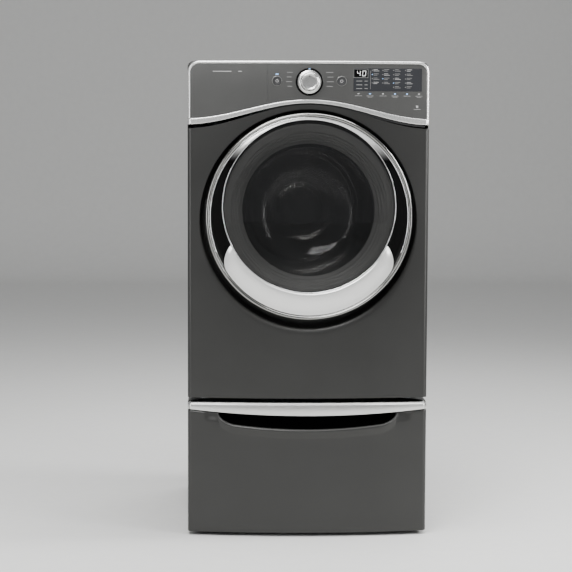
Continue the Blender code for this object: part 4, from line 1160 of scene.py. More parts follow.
@dataclass
class FrontPanel:
    """The bowed front sheet, drawn into a round recess for the door."""

    bottom: float = PANEL_BOTTOM
    top_mid: float = 1.2005
    top_rise: float = 0.0335
    wave_half: float = 0.350
    moat_z: float = 0.9062
    moat_radius: float = 0.3131
    moat_aspect: float = 0.982
    moat_floor: float = FRONT + 0.020
    mouth: float = 0.200
    steps: int = 360
    wall: float = 0.0013

    def top(self, x: float) -> float:
        """Height of the panel's wavy upper edge."""
        return self.top_mid + self.top_rise * cos(pi * x / self.wave_half)

    def edge(self, angle: float, half: float) -> Flat:
        """Where a ray from the recess's middle meets the panel's outline, as (x, z)."""
        dx, dz = sin(angle), cos(angle)
        reach = half / abs(dx) if abs(dx) > 1e-9 else 9.0
        if dz < 0:
            reach = min(reach, (self.bottom - self.moat_z) / dz)
        if dz > 0:
            low, high = 0.0, min(reach, 1.0)
            if self.moat_z + high * dz > self.top(high * dx):
                for _ in range(40):
                    half_way = (low + high) / 2
                    below = self.moat_z + half_way * dz < self.top(half_way * dx)
                    low, high = (half_way, high) if below else (low, half_way)
                reach = low
        return reach * dx, self.moat_z + reach * dz

    def ray(self, angle: float, half: float) -> list[Point]:
        """One section of the sheet, from the door hole's collar out to its edge.

        Args:
            angle: direction from the recess's middle, from the top.
            half: where the flat outline ends at the sides.

        Returns:
            Points from the collar outwards.
        """
        sine, cosine = sin(angle), cos(angle)
        low = smooth((-cosine + 0.15) / 1.05)
        radius = self.moat_radius - 0.0085 * low
        flare, roll = 0.0030 + 0.0180 * low, 0.0035 + 0.0045 * low

        def spot(r: float) -> Flat:
            """The point at a radius along this ray, as (x, z)."""
            return r * self.moat_aspect * sine, self.moat_z + r * cosine

        mouth = (self.mouth * sine, AXIS_Z + self.mouth * cosine)
        floor = self.moat_floor
        made = [(*mouth, floor + 0.016), (*mouth, floor + 0.006)]
        made += [(*mix(mouth, spot(radius), t), floor + d) for t, d in ((0.01, 0.002), (0.03, 0.0))]
        foot = spot(radius - 0.016)
        made += [(*mix(made[-1][:2], foot, t), floor) for t in spread(0.0, 1.0, 7)[1:]]
        made += [(*spot(radius - 0.010), floor - 0.0012), (*spot(radius - 0.006), floor - 0.005)]
        wall_foot = spot(radius - 0.0035)
        made.append((*wall_foot, floor - 0.012))
        rim = spot(radius)
        made.append((*rim, front_y(rim[0]) + roll))
        for a in (12, 24, 36, 48, 60, 72, 82, 90):
            turn = radians(a)
            x, z = spot(radius + flare * (1 - cos(turn)))
            made.append((x, z, front_y(x) + roll * (1 - sin(turn))))
        start, end = spot(radius + flare), self.edge(angle, half)
        for t in spread(0.0, 1.0, 17)[1:]:
            x, z = mix(start, end, t**1.15)
            made.append((x, z, front_y(x)))
        return [(x, y, z) for x, z, y in made]

    def corners(self, half: float) -> list[float]:
        """Angles of the outline's four corners."""
        found = []
        for x in (-half, half):
            for z in (self.bottom, self.top(half)):
                found.append(math.atan2(x, z - self.moat_z) % (2 * pi))
        return found

    def build(self) -> None:
        """Builds the sheet as one piece: face, recess, wrapped sides and folded edges."""
        half = HALF - CORNER_ROUND
        angles = sorted([2 * pi * i / self.steps for i in range(self.steps)] + self.corners(half))
        rays = [self.ray(a, half) for a in angles]
        stock = Stock("front_panel_sheet").rows(rays, loop=True)
        for side in (-1, 1):
            column = sorted({r[-1] for r in rays if abs(r[-1][0] - side * half) < 1e-6}, key=lambda p: p[2])
            turn = [half + CORNER_ROUND * sin(radians(a)) for a in (0, 12, 24, 36, 48, 60, 70, 80, 90)]
            plan = [(side * x, front_y(x)) for x in turn] + [(side * HALF, WRAP + 0.0003)]
            stock.rows([[(x, y, z) for x, y in plan] for _, _, z in column])
        ends = {r[-1] for r in rays}
        lower = sorted(p for p in ends if abs(p[2] - self.bottom) < 1e-6)
        upper = sorted(p for p in ends if abs(p[2] - self.top(p[0])) < 1e-6)
        for line, rise in ((lower, 0.0008), (upper, -0.0008)):
            stock.rows([
                [(x, y + d, z + rise * t) for x, y, z in line]
                for d, t in ((0.0, 0.0), (0.0010, 0.7), (0.0024, 1.0), (0.0090, 1.0))
            ])
        sheet = stock.piece(GRAPHITE, sharp=38.0)
        sheet = self.slotted(sheet)
        fit(sheet, "cabinet", "graphite_paint", "front_panel")

    def slotted(self, sheet: Object) -> Object:
        """Gives the sheet its thickness and cuts the door lock's slot."""
        shell = sheet.modifiers.new("wall", "SOLIDIFY")
        shell.thickness = self.wall
        shell.offset = -1.0
        sheet = settled(sheet)
        dress(sheet, GRAPHITE, 38.0)
        left, right, reach, corner = 0.2360, 0.2540, 0.0245, 0.003
        slot = Stock("lock_slot").box(
            (left, FRONT, RING_Z - reach), (right, FRONT + 0.05, RING_Z + reach), corner
        ).piece(GRAPHITE)
        return cut(sheet, [slot], GRAPHITE, 38.0)


@dataclass
class Cabinet:
    """Side sheets, top cover and back of the machine."""

    wall: float = 0.0014
    lid_edge: float = 0.004
    lid_side: float = 0.016

    def sides(self) -> None:
        """Two side sheets, each with a broad field pressed in to stiffen it."""
        for label, side in (("left", -1), ("right", 1)):
            ys = [WRAP + GAP, WRAP + 0.02] + spread(WRAP + 0.055, BACK - 0.055, 20) + [BACK - 0.02, BACK]
            zs = [PANEL_BOTTOM, PANEL_BOTTOM + 0.03] + spread(
                PANEL_BOTTOM + 0.06, SIDE_TOP - 0.06, 30
            ) + [SIDE_TOP - 0.03, SIDE_TOP - GAP]
            ys += [
                WRAP + 0.055 + d for d in (-0.012, -0.008, -0.004, 0.004)
            ] + [BACK - 0.055 + d for d in (0.012, 0.008, 0.004, -0.004)]
            zs += [
                PANEL_BOTTOM + 0.06 + d for d in (-0.012, -0.008, -0.004, 0.004)
            ] + [SIDE_TOP - 0.06 + d for d in (0.012, 0.008, 0.004, -0.004)]
            rows = []
            for z in sorted(zs):
                row = []
                for y in sorted(ys):
                    near = min(
                        y - WRAP - 0.043, BACK - 0.043 - y, z - PANEL_BOTTOM - 0.048, SIDE_TOP - 0.048 - z
                    )
                    row.append((side * (HALF - 0.0016 * smooth(near / 0.012)), y, z))
                fold = [(side * (HALF - 0.0007), BACK, z), (side * (HALF - 0.022), BACK, z)]
                row[-1] = (side * HALF, BACK - 0.0007, z)
                rows.append(row + fold)
            sheet = Stock(f"side_sheet_{label}").rows(rows).piece(
                GRAPHITE, sharp=50.0, wall=self.wall * 0.999
            )
            fit(sheet, "cabinet", "graphite_paint", f"side_panel_{label}")

    def lid(self) -> None:
        """The top cover: one pressed sheet with rolled edges, broader at the sides."""
        front, low = WRAP + GAP, SIDE_TOP
        side, edge = self.lid_side, self.lid_edge
        rows = []
        for a in (-90, 0, 8, 16, 24, 32, 40, 48, 56, 64, 72, 80, 90):
            turn = radians(max(a, 0))
            z = low if a < 0 else HEIGHT - side * (1 - sin(turn))
            across = side * (1 - cos(turn)) if a >= 0 else 0.0
            climb = max(0.0, (z - (HEIGHT - edge)) / edge)
            deep = edge * (1 - sqrt(max(0.0, 1 - climb * climb)))
            a_corner, b_corner = (-HALF + across, front + deep), (HALF - across, BACK - deep)
            plan = fillet(
                [a_corner, (b_corner[0], a_corner[1]), b_corner, (a_corner[0], b_corner[1])], 0.006, 4
            )
            rows.append([(x, y, z) for x, y in plan])
        for inset in (0.03, 0.12, 0.25):
            plan = fillet(
                [(-HALF + side + inset, front + edge + inset), (HALF - side - inset, front + edge + inset)]
                + [(HALF - side - inset, BACK - edge - inset),
                (-HALF + side + inset, BACK - edge - inset)], 0.006, 4
            )
            rows.append([(x, y, HEIGHT) for x, y in plan])
        stock = Stock("top_cover").rows(rows, ring=True)
        last = len(stock.points) - len(rows[0])
        stock.faces.append(tuple(range(last, last + len(rows[0]))))
        fit(stock.piece(GRAPHITE, 40.0, wall=0.0014), "cabinet", "graphite_paint", "top_panel")

    def back(self) -> None:
        """The rear sheet: a border, two crossed stiffening channels, vents and its screws."""
        y = FRONT + 0.715 + 0.0015
        low, high, half = PANEL_BOTTOM + 0.0009, SIDE_TOP - 0.0008, 0.3400

        def relief(x: float, z: float) -> float:
            """Depth pressed into the sheet at a place."""
            mid_z = 0.88
            inside = min(half - 0.035 - abs(x), z - low - 0.035, high - 0.10 - z)
            field_depth = 0.004 * smooth(inside / 0.010)
            ring = abs(hypot(x, z - AXIS_Z) - 0.20)
            spoke = min(abs(x * 1.35 - (z - mid_z)), abs(x * 1.35 + (z - mid_z))) * 0.6
            outside = hypot(x, z - AXIS_Z) > 0.20
            rib = smooth(1 - ring / 0.010)
            if outside:
                rib = max(rib, smooth(1 - spoke / 0.009) * smooth(inside / 0.03))
            return field_depth - 0.003 * rib

        xs, zs = spread(-half, half, 150), spread(low, high, 200)
        rows = [[(x, y - relief(x, z), z) for x in xs] for z in zs]
        sheet = Stock("rear_sheet").rows(rows).piece(ZINC, sharp=60.0, wall=0.0009)
        tools = []
        for name, x, radius in (("hot", -0.215, 0.0138), ("cold", -0.155, 0.0138), ("lead", 0.215, 0.0114)):
            profile = [(0.0, y - 0.03), (radius, y - 0.03), (radius, y + 0.03), (0.0, y + 0.03)]
            tools.append(
                Stock(f"rear_hole_{name}").turned(profile, (x, 1.275), 40, closed=False).piece(ZINC)
            )
        sheet = cut(sheet, tools, ZINC, 60.0)
        fit(sheet, "cabinet", "galvanised_steel", "rear_panel")
        places = [((x, y, z), (0.0, 1.0, 0.0)) for x in (-0.330, 0.330) for z in spread(0.42, 1.30, 6)]
        places += [((x, y, z), (0.0, 1.0, 0.0)) for x in spread(-0.24, 0.24, 4) for z in (0.405, 1.328)]
        screws = Repeat("rear_sheet_screws").at_points(places, screw_head(0.0052), ZINC)
        fit(screws, "cabinet", "galvanised_steel")
        vent = self.louvre()
        places = [
            ((x, y - 0.0036, z), (0.0, 1.0, 0.0)) for x in (-0.26, 0.26) for z in spread(0.52, 0.64, 9)
        ]
        vents = Repeat("rear_vents").at_points(places, vent, ZINC)
        fit(vents, "cabinet", "galvanised_steel")

    def louvre(self) -> Object:
        """One pressed louvre, 60 mm wide, facing +Z at the origin, with its long side along X."""
        rows = []
        for t in spread(-1.0, 1.0, 13):
            swell = sqrt(max(0.0, 1 - abs(t) ** 5))
            rows.append(
                [(0.030 * t, -0.0035 * swell, 0.0), (0.030 * t, -0.0020 * swell, 0.0034 * swell),
                (0.030 * t, 0.0005, 0.0042 * swell)]
                + [(0.030 * t, 0.0032 * swell, 0.0030 * swell), (0.030 * t, 0.0035 * swell, 0.0)]
            )
        return Stock("louvre_pattern").rows(rows, ring=True, caps=True).piece(ZINC)

    def services(self) -> None:
        """Threaded water inlets and the mains lead's strain relief."""
        y = FRONT + 0.715
        threads = Stock("inlet_threads")
        for x in (-0.215, -0.155):
            profile = [(0.0122, y + 0.0020)]
            for i in range(4):
                start = y + 0.0020 + 0.0022 * i
                profile += [
                    (0.0122, start + 0.0003), (0.0132, start + 0.0009), (0.0132, start + 0.0013),
                    (0.0122, start + 0.0019)
                ]
            profile += [(0.0122, BACK - 0.0006), (0.0085, BACK - 0.0006), (0.0085, y + 0.0020)]
            threads.turned(profile, (x, 1.275), 48)
        fit(threads.piece(WHITE, 50.0), "cabinet", "white_plastic")
        profile = [
            (0.0, y - 0.0140), (0.0150, y - 0.0140), (0.0150, y - GAP), (0.0105, y - GAP),
            (0.0105, y + 0.0018)
        ]
        profile += [
            (0.0150, y + 0.0020), (0.0150, y + 0.0042), (0.0128, y + 0.0050), (0.0128, y + 0.0062),
            (0.0118, y + 0.0064)
        ]
        profile += [
            (0.0118, y + 0.0076), (0.0108, y + 0.0078), (0.0108, BACK - 0.0006), (0.0046, BACK - 0.0006),
            (0.0044, y + 0.001), (0.0, y)
        ]
        relief = Stock("lead_strain_relief").turned(
            profile, (0.215, 1.275), 48, closed=False
        ).piece(MATT, 40.0)
        fit(relief, "cabinet", "black_plastic", "power_inlet")

    def build(self) -> None:
        """Builds the cabinet's outer sheets."""
        self.sides()
        self.lid()
        self.back()
        self.services()


# ---------------------------------------------------------------- console


@dataclass
class Console:
    """The bowed control panel with its silver frame, display and lights."""

    wave_half: float = 0.350
    wave_top: Flat = (1.2215, 0.0270)
    wave_low: Flat = (1.2080, 0.0300)
    split: float = -0.1180
    display_low: Flat = (0.1246, 1.2727)
    display_high: Flat = (0.3197, 1.3368)
    knob_z: float = 1.298
    button_x: float = 0.091
    button_z: float = 1.3004

    def wave(self, line: Flat, x: float) -> float:
        """Height of one of the wavy lines at x."""
        return line[0] + line[1] * cos(pi * x / self.wave_half)

    def floor(self, x: float) -> float:
        """Lower edge of the console's faces."""
        return self.wave(self.wave_top, x) + GAP

    def roof(self, x: float) -> float:
        """Upper edge of the console's faces, inside the frame's rounded corners."""
        half, top = HALF - RIM_WIDTH - GAP, HEIGHT - RIM_WIDTH - GAP
        radius = RIM_CORNER - RIM_WIDTH
        over = max(0.0, abs(x) - (half - radius))
        return top - radius + sqrt(max(0.0, radius * radius - over * over))

    def frame_bar(self) -> None:
        """The satin bar that runs up both sides and along the top of the console."""
        half, top = HALF, HEIGHT
        centre = (half - RIM_CORNER, top - RIM_CORNER)
        bottom = self.wave(self.wave_top, HALF - RIM_WIDTH) + 2 * GAP
        right = [(half, z) for z in spread(bottom, top - RIM_CORNER - 0.001, 12)]
        outline = right + arc(centre, RIM_CORNER, 0, 90, 22) + [
            (x, top) for x in spread(centre[0] - 0.001, 0.0, 30)
        ]
        outline += [(-x, z) for x, z in reversed(outline[:-1])]
        rows = []
        for i, (x, z) in enumerate(outline):
            a, b = outline[max(i - 1, 0)], outline[min(i + 1, len(outline) - 1)]
            run, rise = b[0] - a[0], b[1] - a[1]
            size = hypot(run, rise)
            nx, nz = -rise / size, run / size
            row = []
            width = RIM_WIDTH
            section = [
                (width, 0.012), (width, 0.0035), (width - 0.0004, 0.0018), (width - 0.0012, 0.0006),
                (width - 0.0024, 0.0)
            ]
            section += [(0.0034, 0.0), (0.0020, 0.0004), (0.0009, 0.0014), (0.0002, 0.0030), (0.0, 0.0050)]
            for inward, depth in section:
                px, pz = x + nx * inward, z + nz * inward
                row.append((px, front_y(px, BOW, 0.0025) + depth, pz))
            px, pz = x + nx * 0.0001, z + nz * 0.0001
            row.append((x, WRAP - GAP, z))
            row.append((x + nx * width, WRAP - GAP, z + nz * width))
            rows.append(row)
        bar = Stock("console_frame_bar").rows(rows, ring=True, caps=True).piece(SATIN, 45.0)
        fit(bar, "cabinet", "satin_silver", "console_rim")

    def wave_band(self) -> None:
        """The silver wave under the console."""
        path = front_path(BOW, 0.0025)
        stock = Stock("console_wave_band").band(
            path, lambda x: self.wave(self.wave_low, x), lambda x: self.wave(self.wave_top, x), 0.005,
            0.0024
        )
        fit(stock.piece(SATIN, 40.0), "cabinet", "satin_silver", "wave_trim")

    def fascia(self) -> None:
        """The lacquered face right of the detergent drawer, with its openings."""
        xs = sorted(
            spread(self.split + GAP, 0.300, 60)
            + [HALF - RIM_WIDTH - GAP - d for d in (0.0, 0.0005, 0.0015, 0.003, 0.005, 0.0075, 0.0105,
            0.014, 0.018, 0.022, 0.026)]
        )
        path = [(x, front_y(x)) for x in xs]
        face = Stock("console_fascia").band(path, self.floor, self.roof, 0.003, 0.0008).piece(CONSOLE, 50.0)
        low, high = self.display_low, self.display_high
        window = Stock("window_tool").box(
            (low[0] - GAP, FRONT - 0.06, low[1] - GAP), (high[0] + GAP, FRONT + 0.03, high[1] + GAP), 0.0004
        )
        tools = [window.piece(CONSOLE)]
        for name, x, z, radius in (
            ("knob", 0.0, self.knob_z, 0.0075), ("power", -self.button_x, self.button_z, 0.0133),
            ("start", self.button_x, self.button_z, 0.0133)
        ):
            profile = [
                (0.0, FRONT - 0.06), (radius, FRONT - 0.06), (radius, FRONT + 0.02), (0.0, FRONT + 0.02)
            ]
            tools.append(
                Stock(f"{name}_hole_tool").turned(profile, (x, z), 64, closed=False).piece(CONSOLE)
            )
        face = cut(face, tools, CONSOLE, 50.0)
        fit(face, "cabinet", "console_plastic", "console_panel")

    def backing(self) -> None:
        """The black carrier behind the faces, which shows only as the dark line round them."""
        path = [(x, front_y(x, BOW, -0.0045)) for x in spread(-0.1170, 0.3300, 60)]
        stock = Stock("console_carrier").band(
            path, lambda x: 1.2010 + 0.03 * cos(pi * x / 0.35), lambda x: self.roof(x) - 0.001,
            0.0012, 0.0003
        )
        path = [(x, front_y(x, BOW, -0.0055)) for x in spread(-0.3300, -0.1180, 30)]
        stock.band(
            path, lambda x: 1.1850 + 0.03 * cos(pi * x / 0.35),
            lambda x: 1.2010 + 0.034 * cos(pi * x / 0.35), 0.0012, 0.0003
        )
        carrier = stock.piece(MATT)
        window = Stock("carrier_tool").box(
            (-0.0140, FRONT - 0.06, 1.283), (0.0140, FRONT + 0.03, 1.313), 0.002
        ).piece(MATT)
        tools = [window]
        for x in (-self.button_x, self.button_x):
            profile = [
                (0.0, FRONT - 0.06), (0.0140, FRONT - 0.06), (0.0140, FRONT + 0.02), (0.0, FRONT + 0.02)
            ]
            tools.append(
                Stock("carrier_hole").turned(profile, (x, self.button_z), 40, closed=False).piece(MATT)
            )
        carrier = cut(carrier, tools, MATT)
        fit(carrier, "cabinet", "black_plastic")

    def patch(
        self, stock: Stock, x: float, z: float, width: float, height: float, out: float,
        slant: float = 0.0
    ) -> None:
        """Adds one small raised patch that follows the bowed face.

        Args:
            stock: the piece that gets it.
            x: its middle across.
            z: its middle height.
            width: its width.
            height: its height.
            out: how far its face stands in front of the console's.
            slant: how far its top leans to the right.
        """
        rows = []
        for sx in (-0.5, 0.5):
            row = []
            for sz, depth in ((-0.5, INK_THICK), (-0.5, 0.0), (0.5, 0.0), (0.5, INK_THICK)):
                px = x + sx * width + slant * sz
                row.append((px, front_y(px, BOW, out) + depth, z + sz * height))
            rows.append(row)
        stock.rows(rows, ring=True, caps=True)

    def display(self) -> None:
        """The smoked window with its two digits and the rows of option marks."""
        low, high = self.display_low, self.display_high
        path = [(x, front_y(x, BOW, 0.0003)) for x in spread(low[0], high[0], 40)]
        glass = Stock("display_window").band(
            path, lambda x: low[1], lambda x: high[1], 0.0025, 0.0007
        ).piece(SMOKED)
        fit(glass, "cabinet", "smoked_display", "display_panel")
        black = Stock("display_mask")
        line = [(x, front_y(x, BOW, 0.0004)) for x in spread(0.1262, 0.1645, 12)]
        black.band(line, lambda x: 1.3118, lambda x: 1.3336, 0.0003, 0.00008)
        fit(black.piece(GLOSS), "cabinet", "smoked_display")
        digits = Stock("display_digits")
        self.digit(digits, 0.1392, 1.3225, "bcfg")
        self.digit(digits, 0.1545, 1.3225, "abcdef")
        fit(digits.piece(DIGIT), "cabinet", "smoked_display")
        frame_mark = Stock("display_frame")
        for x, z, width, height in ((0.1452, 1.3345, 0.0410, 0.0008), (0.1452, 1.3108, 0.0410, 0.0008)):
            self.patch(frame_mark, x, z, width, height, 0.00045)
        for x in (0.1246 + 0.0004, 0.1653):
            self.patch(frame_mark, x, 1.32265, 0.0008, 0.0240, 0.00045)
        self.patch(frame_mark, 0.1725, 1.3045, 0.0007, 0.0520, 0.00045)
        fit(frame_mark.piece(FAINT), "cabinet", "smoked_display")
        self.legends()

    def digit(self, stock: Stock, x: float, z: float, lit: str) -> None:
        """Adds one seven-segment digit, 13 mm high.

        Args:
            stock: the piece that gets it.
            x: its middle across.
            z: its middle height.
            lit: the letters of its lit segments.
        """
        width, height, bar = 0.0084, 0.0140, 0.0009
        level = {"a": height / 2, "g": 0.0, "d": -height / 2}
        upright = {"f": (-1, 1), "b": (1, 1), "e": (-1, -1), "c": (1, -1)}
        for name in lit:
            if name in level:
                self.patch(
                    stock, x + level[name] * 0.1, z + level[name], width - bar * 1.2, bar, ON_GLASS
                )
            else:
                sx, sz = upright[name]
                lean = sz * height / 4 * 0.1
                self.patch(
                    stock, x + sx * width / 2 + lean, z + sz * height / 4, bar, height / 2 - bar * 0.7,
                    ON_GLASS, 0.0006
                )

    def legends(self) -> None:
        """Rows of small printed marks in place of the option names, and the lights beside them."""
        bright, dim, lights = Stock("option_marks"), Stock("option_marks_dim"), Stock("option_lights")
        columns = ((0.186, 4), (0.216, 4), (0.247, 5), (0.281, 5))
        top_row, row_step, line_step = 1.3315, 0.0118, 0.0038
        for c, (x, count) in enumerate(columns):
            for r in range(count):
                z = top_row - r * row_step
                self.patch(
                    lights if (c, r) in ((1, 2), (2, 3), (0, 1)) else dim, x - 0.0085, z, 0.0022, 0.0022,
                    ON_GLASS
                )
                widths = (0.0150, 0.0105) if (c + r) % 2 else (0.0120, 0.0165)
                for line, width in enumerate(widths):
                    self.patch(
                        bright if (c * 2 + r) % 3 == 0 else dim, x - 0.0050 + width / 2,
                        z + 0.0019 - line * line_step, width, 0.0011, ON_GLASS
                    )
        for r in range(3):
            z = 1.3010 - r * 0.0105
            self.patch(dim, 0.1405, z, 0.0170, 0.0016, ON_GLASS)
            self.patch(dim, 0.1600, z, 0.0090, 0.0016, ON_GLASS)
        for i, x in enumerate((0.1387, 0.1714, 0.2084, 0.2427, 0.2771, 0.3117)):
            self.patch(lights if i in (1, 3, 4) else bright, x, 1.2655, 0.0052, 0.0028, ON_FACE)
            self.patch(dim, x, 1.2597, 0.0200, 0.0016, ON_FACE)
            if i % 2:
                self.patch(dim, x, 1.2563, 0.0130, 0.0014, ON_FACE)
        for side, length in ((-1, 0.016), (1, 0.020)):
            for i in range(4):
                z = 1.3245 - 0.0130 * i
                reach = 0.047 + 0.003 * (1 - abs(i - 1.5) / 1.5)
                self.patch(
                    dim, side * (reach + length / 2), z, length - 0.003 * (i % 2), 0.0018, ON_FACE
                )
        self.patch(bright, 0.3065, 1.2300, 0.0060, 0.0060, ON_FACE)
        self.patch(dim, 0.3065, 1.2225, 0.0200, 0.0018, ON_FACE)
        self.patch(lights, -self.button_x, self.button_z + 0.0190, 0.0080, 0.0030, ON_FACE)
        self.patch(lights, 0.0, self.knob_z + 0.0365, 0.0046, 0.0020, 0.0016)
        fit(bright.piece(INK), "cabinet", "console_plastic")
        fit(dim.piece(FAINT), "cabinet", "console_plastic")
        fit(lights.piece(BLUE), "cabinet", "console_plastic")

    def bezels(self) -> None:
        """The black ring round the knob, and the rings round the two keys."""
        face = front_y(0.0)
        black = fillet(
            [(0.0338, face + 0.0010), (0.0338, face - 0.0010), (0.0386, face - 0.0014),
            (0.0386, face + 0.0010)], 0.0004, 3
        )
        ring = Stock("knob_seat_ring").turned(black, (0.0, self.knob_z)).piece(GLOSS)
        fit(ring, "cabinet", "black_plastic")
        rings = Stock("key_rings")
        for x in (-self.button_x, self.button_x):
            level = front_y(x)
            section = fillet(
                [(0.0128, level + 0.0010), (0.0128, level - 0.0012), (0.0141, level - 0.0009),
                (0.0142, level + 0.0010)], 0.0004, 3
            )
            rings.turned(section, (x, self.button_z), 96)
        fit(rings.piece(KEY_RING), "cabinet", "satin_silver")

    def build(self) -> None:
        """Builds the console's fixed pieces."""
        self.frame_bar()
        self.wave_band()
        self.fascia()
        self.backing()
        self.display()
        self.bezels()


@dataclass
class Controls:
    """The selector knob and the two keys."""

    knob_z: float = 1.298
    button_x: float = 0.091
    button_z: float = 1.3004
    flutes: int = 36

    def knob(self) -> None:
        """A turned knob with a fluted grip, a bright shoulder and a spun face, and a band over the grip
        painted darker as shade.
        """
        face = FRONT - BOW
        profile = [
            (0.0, -0.0250), (0.0150, -0.0252), (0.0196, -0.0256), (0.0206, -0.0262), (0.0222, -0.0262),
            (0.0236, -0.0252)
        ]
        profile += [(0.0244, -0.0232), (0.0248, -0.0205)]
        grip = [(0.0252, -0.0180), (0.0254, -0.0140), (0.0256, -0.0100)]
        skirt = [
            (0.0258, -0.0078), (0.0268, -0.0066), (0.0300, -0.0059), (0.0326, -0.0052), (0.0334, -0.0040),
            (0.0335, -0.0010)
        ]
        tail = [
            (0.0300, -0.0008), (0.0062, -0.0008), (0.0060, FRONT - 0.0060 - face),
            (0.0, FRONT - 0.0060 - face)
        ]
        steps = self.flutes * 6
        rows = []
        for r, depth in profile + grip + skirt + tail:
            row = []
            for i in range(steps):
                angle = 2 * pi * i / steps
                fluted = 0.00035 * (1 - cos(self.flutes * angle)) if (r, depth) in grip else 0.0
                row.append((
                    (r - fluted) * sin(angle), face + depth,
                    self.knob_z + (r - fluted) * cos(angle)
                ))
            rows.append(row)
        knob = Stock("programme_knob").rows(rows, ring=True).piece(KNOB, 40.0)
        fit(knob, "selector", "satin_silver", "selector_knob")
        # Painted shade: the band over the grip is the same plate in a darker colour, standing in for its
        # sides turned away from the light
        band = Stock("knob_grip_band")
        rows = []
        for r, depth in (
            (0.0250, -0.0190), (0.0258, -0.0184), (0.0260, -0.0140), (0.0262, -0.0092), (0.0254, -0.0086)
        ):
            row = []
            for i in range(steps):
                angle = 2 * pi * i / steps
                size = r - 0.00035 * (1 - cos(self.flutes * angle)) * (r > 0.0255)
                row.append((size * sin(angle), face + depth, self.knob_z + size * cos(angle)))
            rows.append(row)
        fit(band.rows(rows, ring=True, loop=True).piece(GRIP_PAINTED_SHADE, 40.0), "selector", "satin_silver")
        mark = Stock("knob_pointer").box(
            (-0.0009, face - 0.0265, self.knob_z + 0.0120), (0.0009, face - 0.0248, self.knob_z + 0.0190),
            0.0004
        )
        fit(mark.piece(MATT), "selector", "satin_silver")

    def keys(self) -> None:
        """Two round push keys with a dished black cap and a raised mark."""
        for name, x, body in (
            ("power", -self.button_x, "power_key"), ("start", self.button_x, "start_key")
        ):
            level = front_y(x)
            profile = [
                (0.0, level - 0.0009), (0.0060, level - 0.0010), (0.0098, level - 0.0014),
                (0.0112, level - 0.0016)
            ]
            profile += [
                (0.0120, level - 0.0014), (0.0124, level - 0.0006), (0.0124, level + 0.0060),
                (0.0, level + 0.0060)
            ]
            cap = Stock(f"{name}_key_cap").turned(
                profile, (x, self.button_z), 96, closed=False
            ).piece(KEY_BLACK, 40.0)
            fit(cap, body, "black_plastic", f"{name}_button")
            mark = Stock(f"{name}_key_mark")
            ring = [
                (0.0030, level - 0.0009), (0.0030, level - 0.0012), (0.0041, level - 0.0012),
                (0.0041, level - 0.0009)
            ]
            mark.turned(ring, (x, self.button_z), 40)
            if name == "power":
                mark.box(
                    (x - 0.0003, level - 0.0011, self.button_z + 0.0016),
                    (x + 0.0003, level - 0.0008, self.button_z + 0.0050), 0.00005
                )
            fit(mark.piece(INK), body, "black_plastic")

    def build(self) -> None:
        """Builds the moving controls."""
        self.knob()
        self.keys()


@dataclass
class DetergentDrawer:
    """The lacquered face of the detergent drawer, left of the console's seam."""

    console: Console
    edge: float = -0.1180

    def face(self) -> None:
        """The bowed face with its hidden grip under the lower edge."""
        half = HALF - RIM_WIDTH - GAP
        xs = sorted(
            [-half + d for d in (0.0, 0.0005, 0.0015, 0.003, 0.005, 0.0075, 0.0105, 0.014, 0.018, 0.022,
            0.026)] + spread(-0.300, self.edge, 40)
        )
        path = [(x, front_y(x)) for x in xs]
        stock = Stock("detergent_drawer_face").band(
            path, self.console.floor, self.console.roof, 0.003, 0.0008
        )
        left, right = -0.3180, -0.1290
        line = [(x, FRONT + 0.0010 - BOW * (1 - (x / HALF) ** 2)) for x in spread(left, right, 16)]
        rows = [
            [(x, y + 0.0012, 1.246), (x, FRONT + 0.0042, 1.246), (x, FRONT + 0.0042, 1.320),
            (x, y + 0.0012, 1.320)] for x, y in line
        ]
        stock.rows(rows, ring=True, caps=True)
        fit(stock.piece(CONSOLE, 50.0), "detergent_drawer", "console_plastic", "dispenser_front")
        marks = Stock("drawer_badge_line")
        self.console.patch(marks, -0.2450, 1.3270, 0.0520, 0.0018, ON_FACE)
        self.console.patch(marks, -0.1950, 1.3270, 0.0100, 0.0018, ON_FACE)
        fit(marks.piece(INK), "detergent_drawer", "console_plastic")

    def build(self) -> None:
        """Builds the drawer's visible face."""
        self.face()


# ---------------------------------------------------------------- door


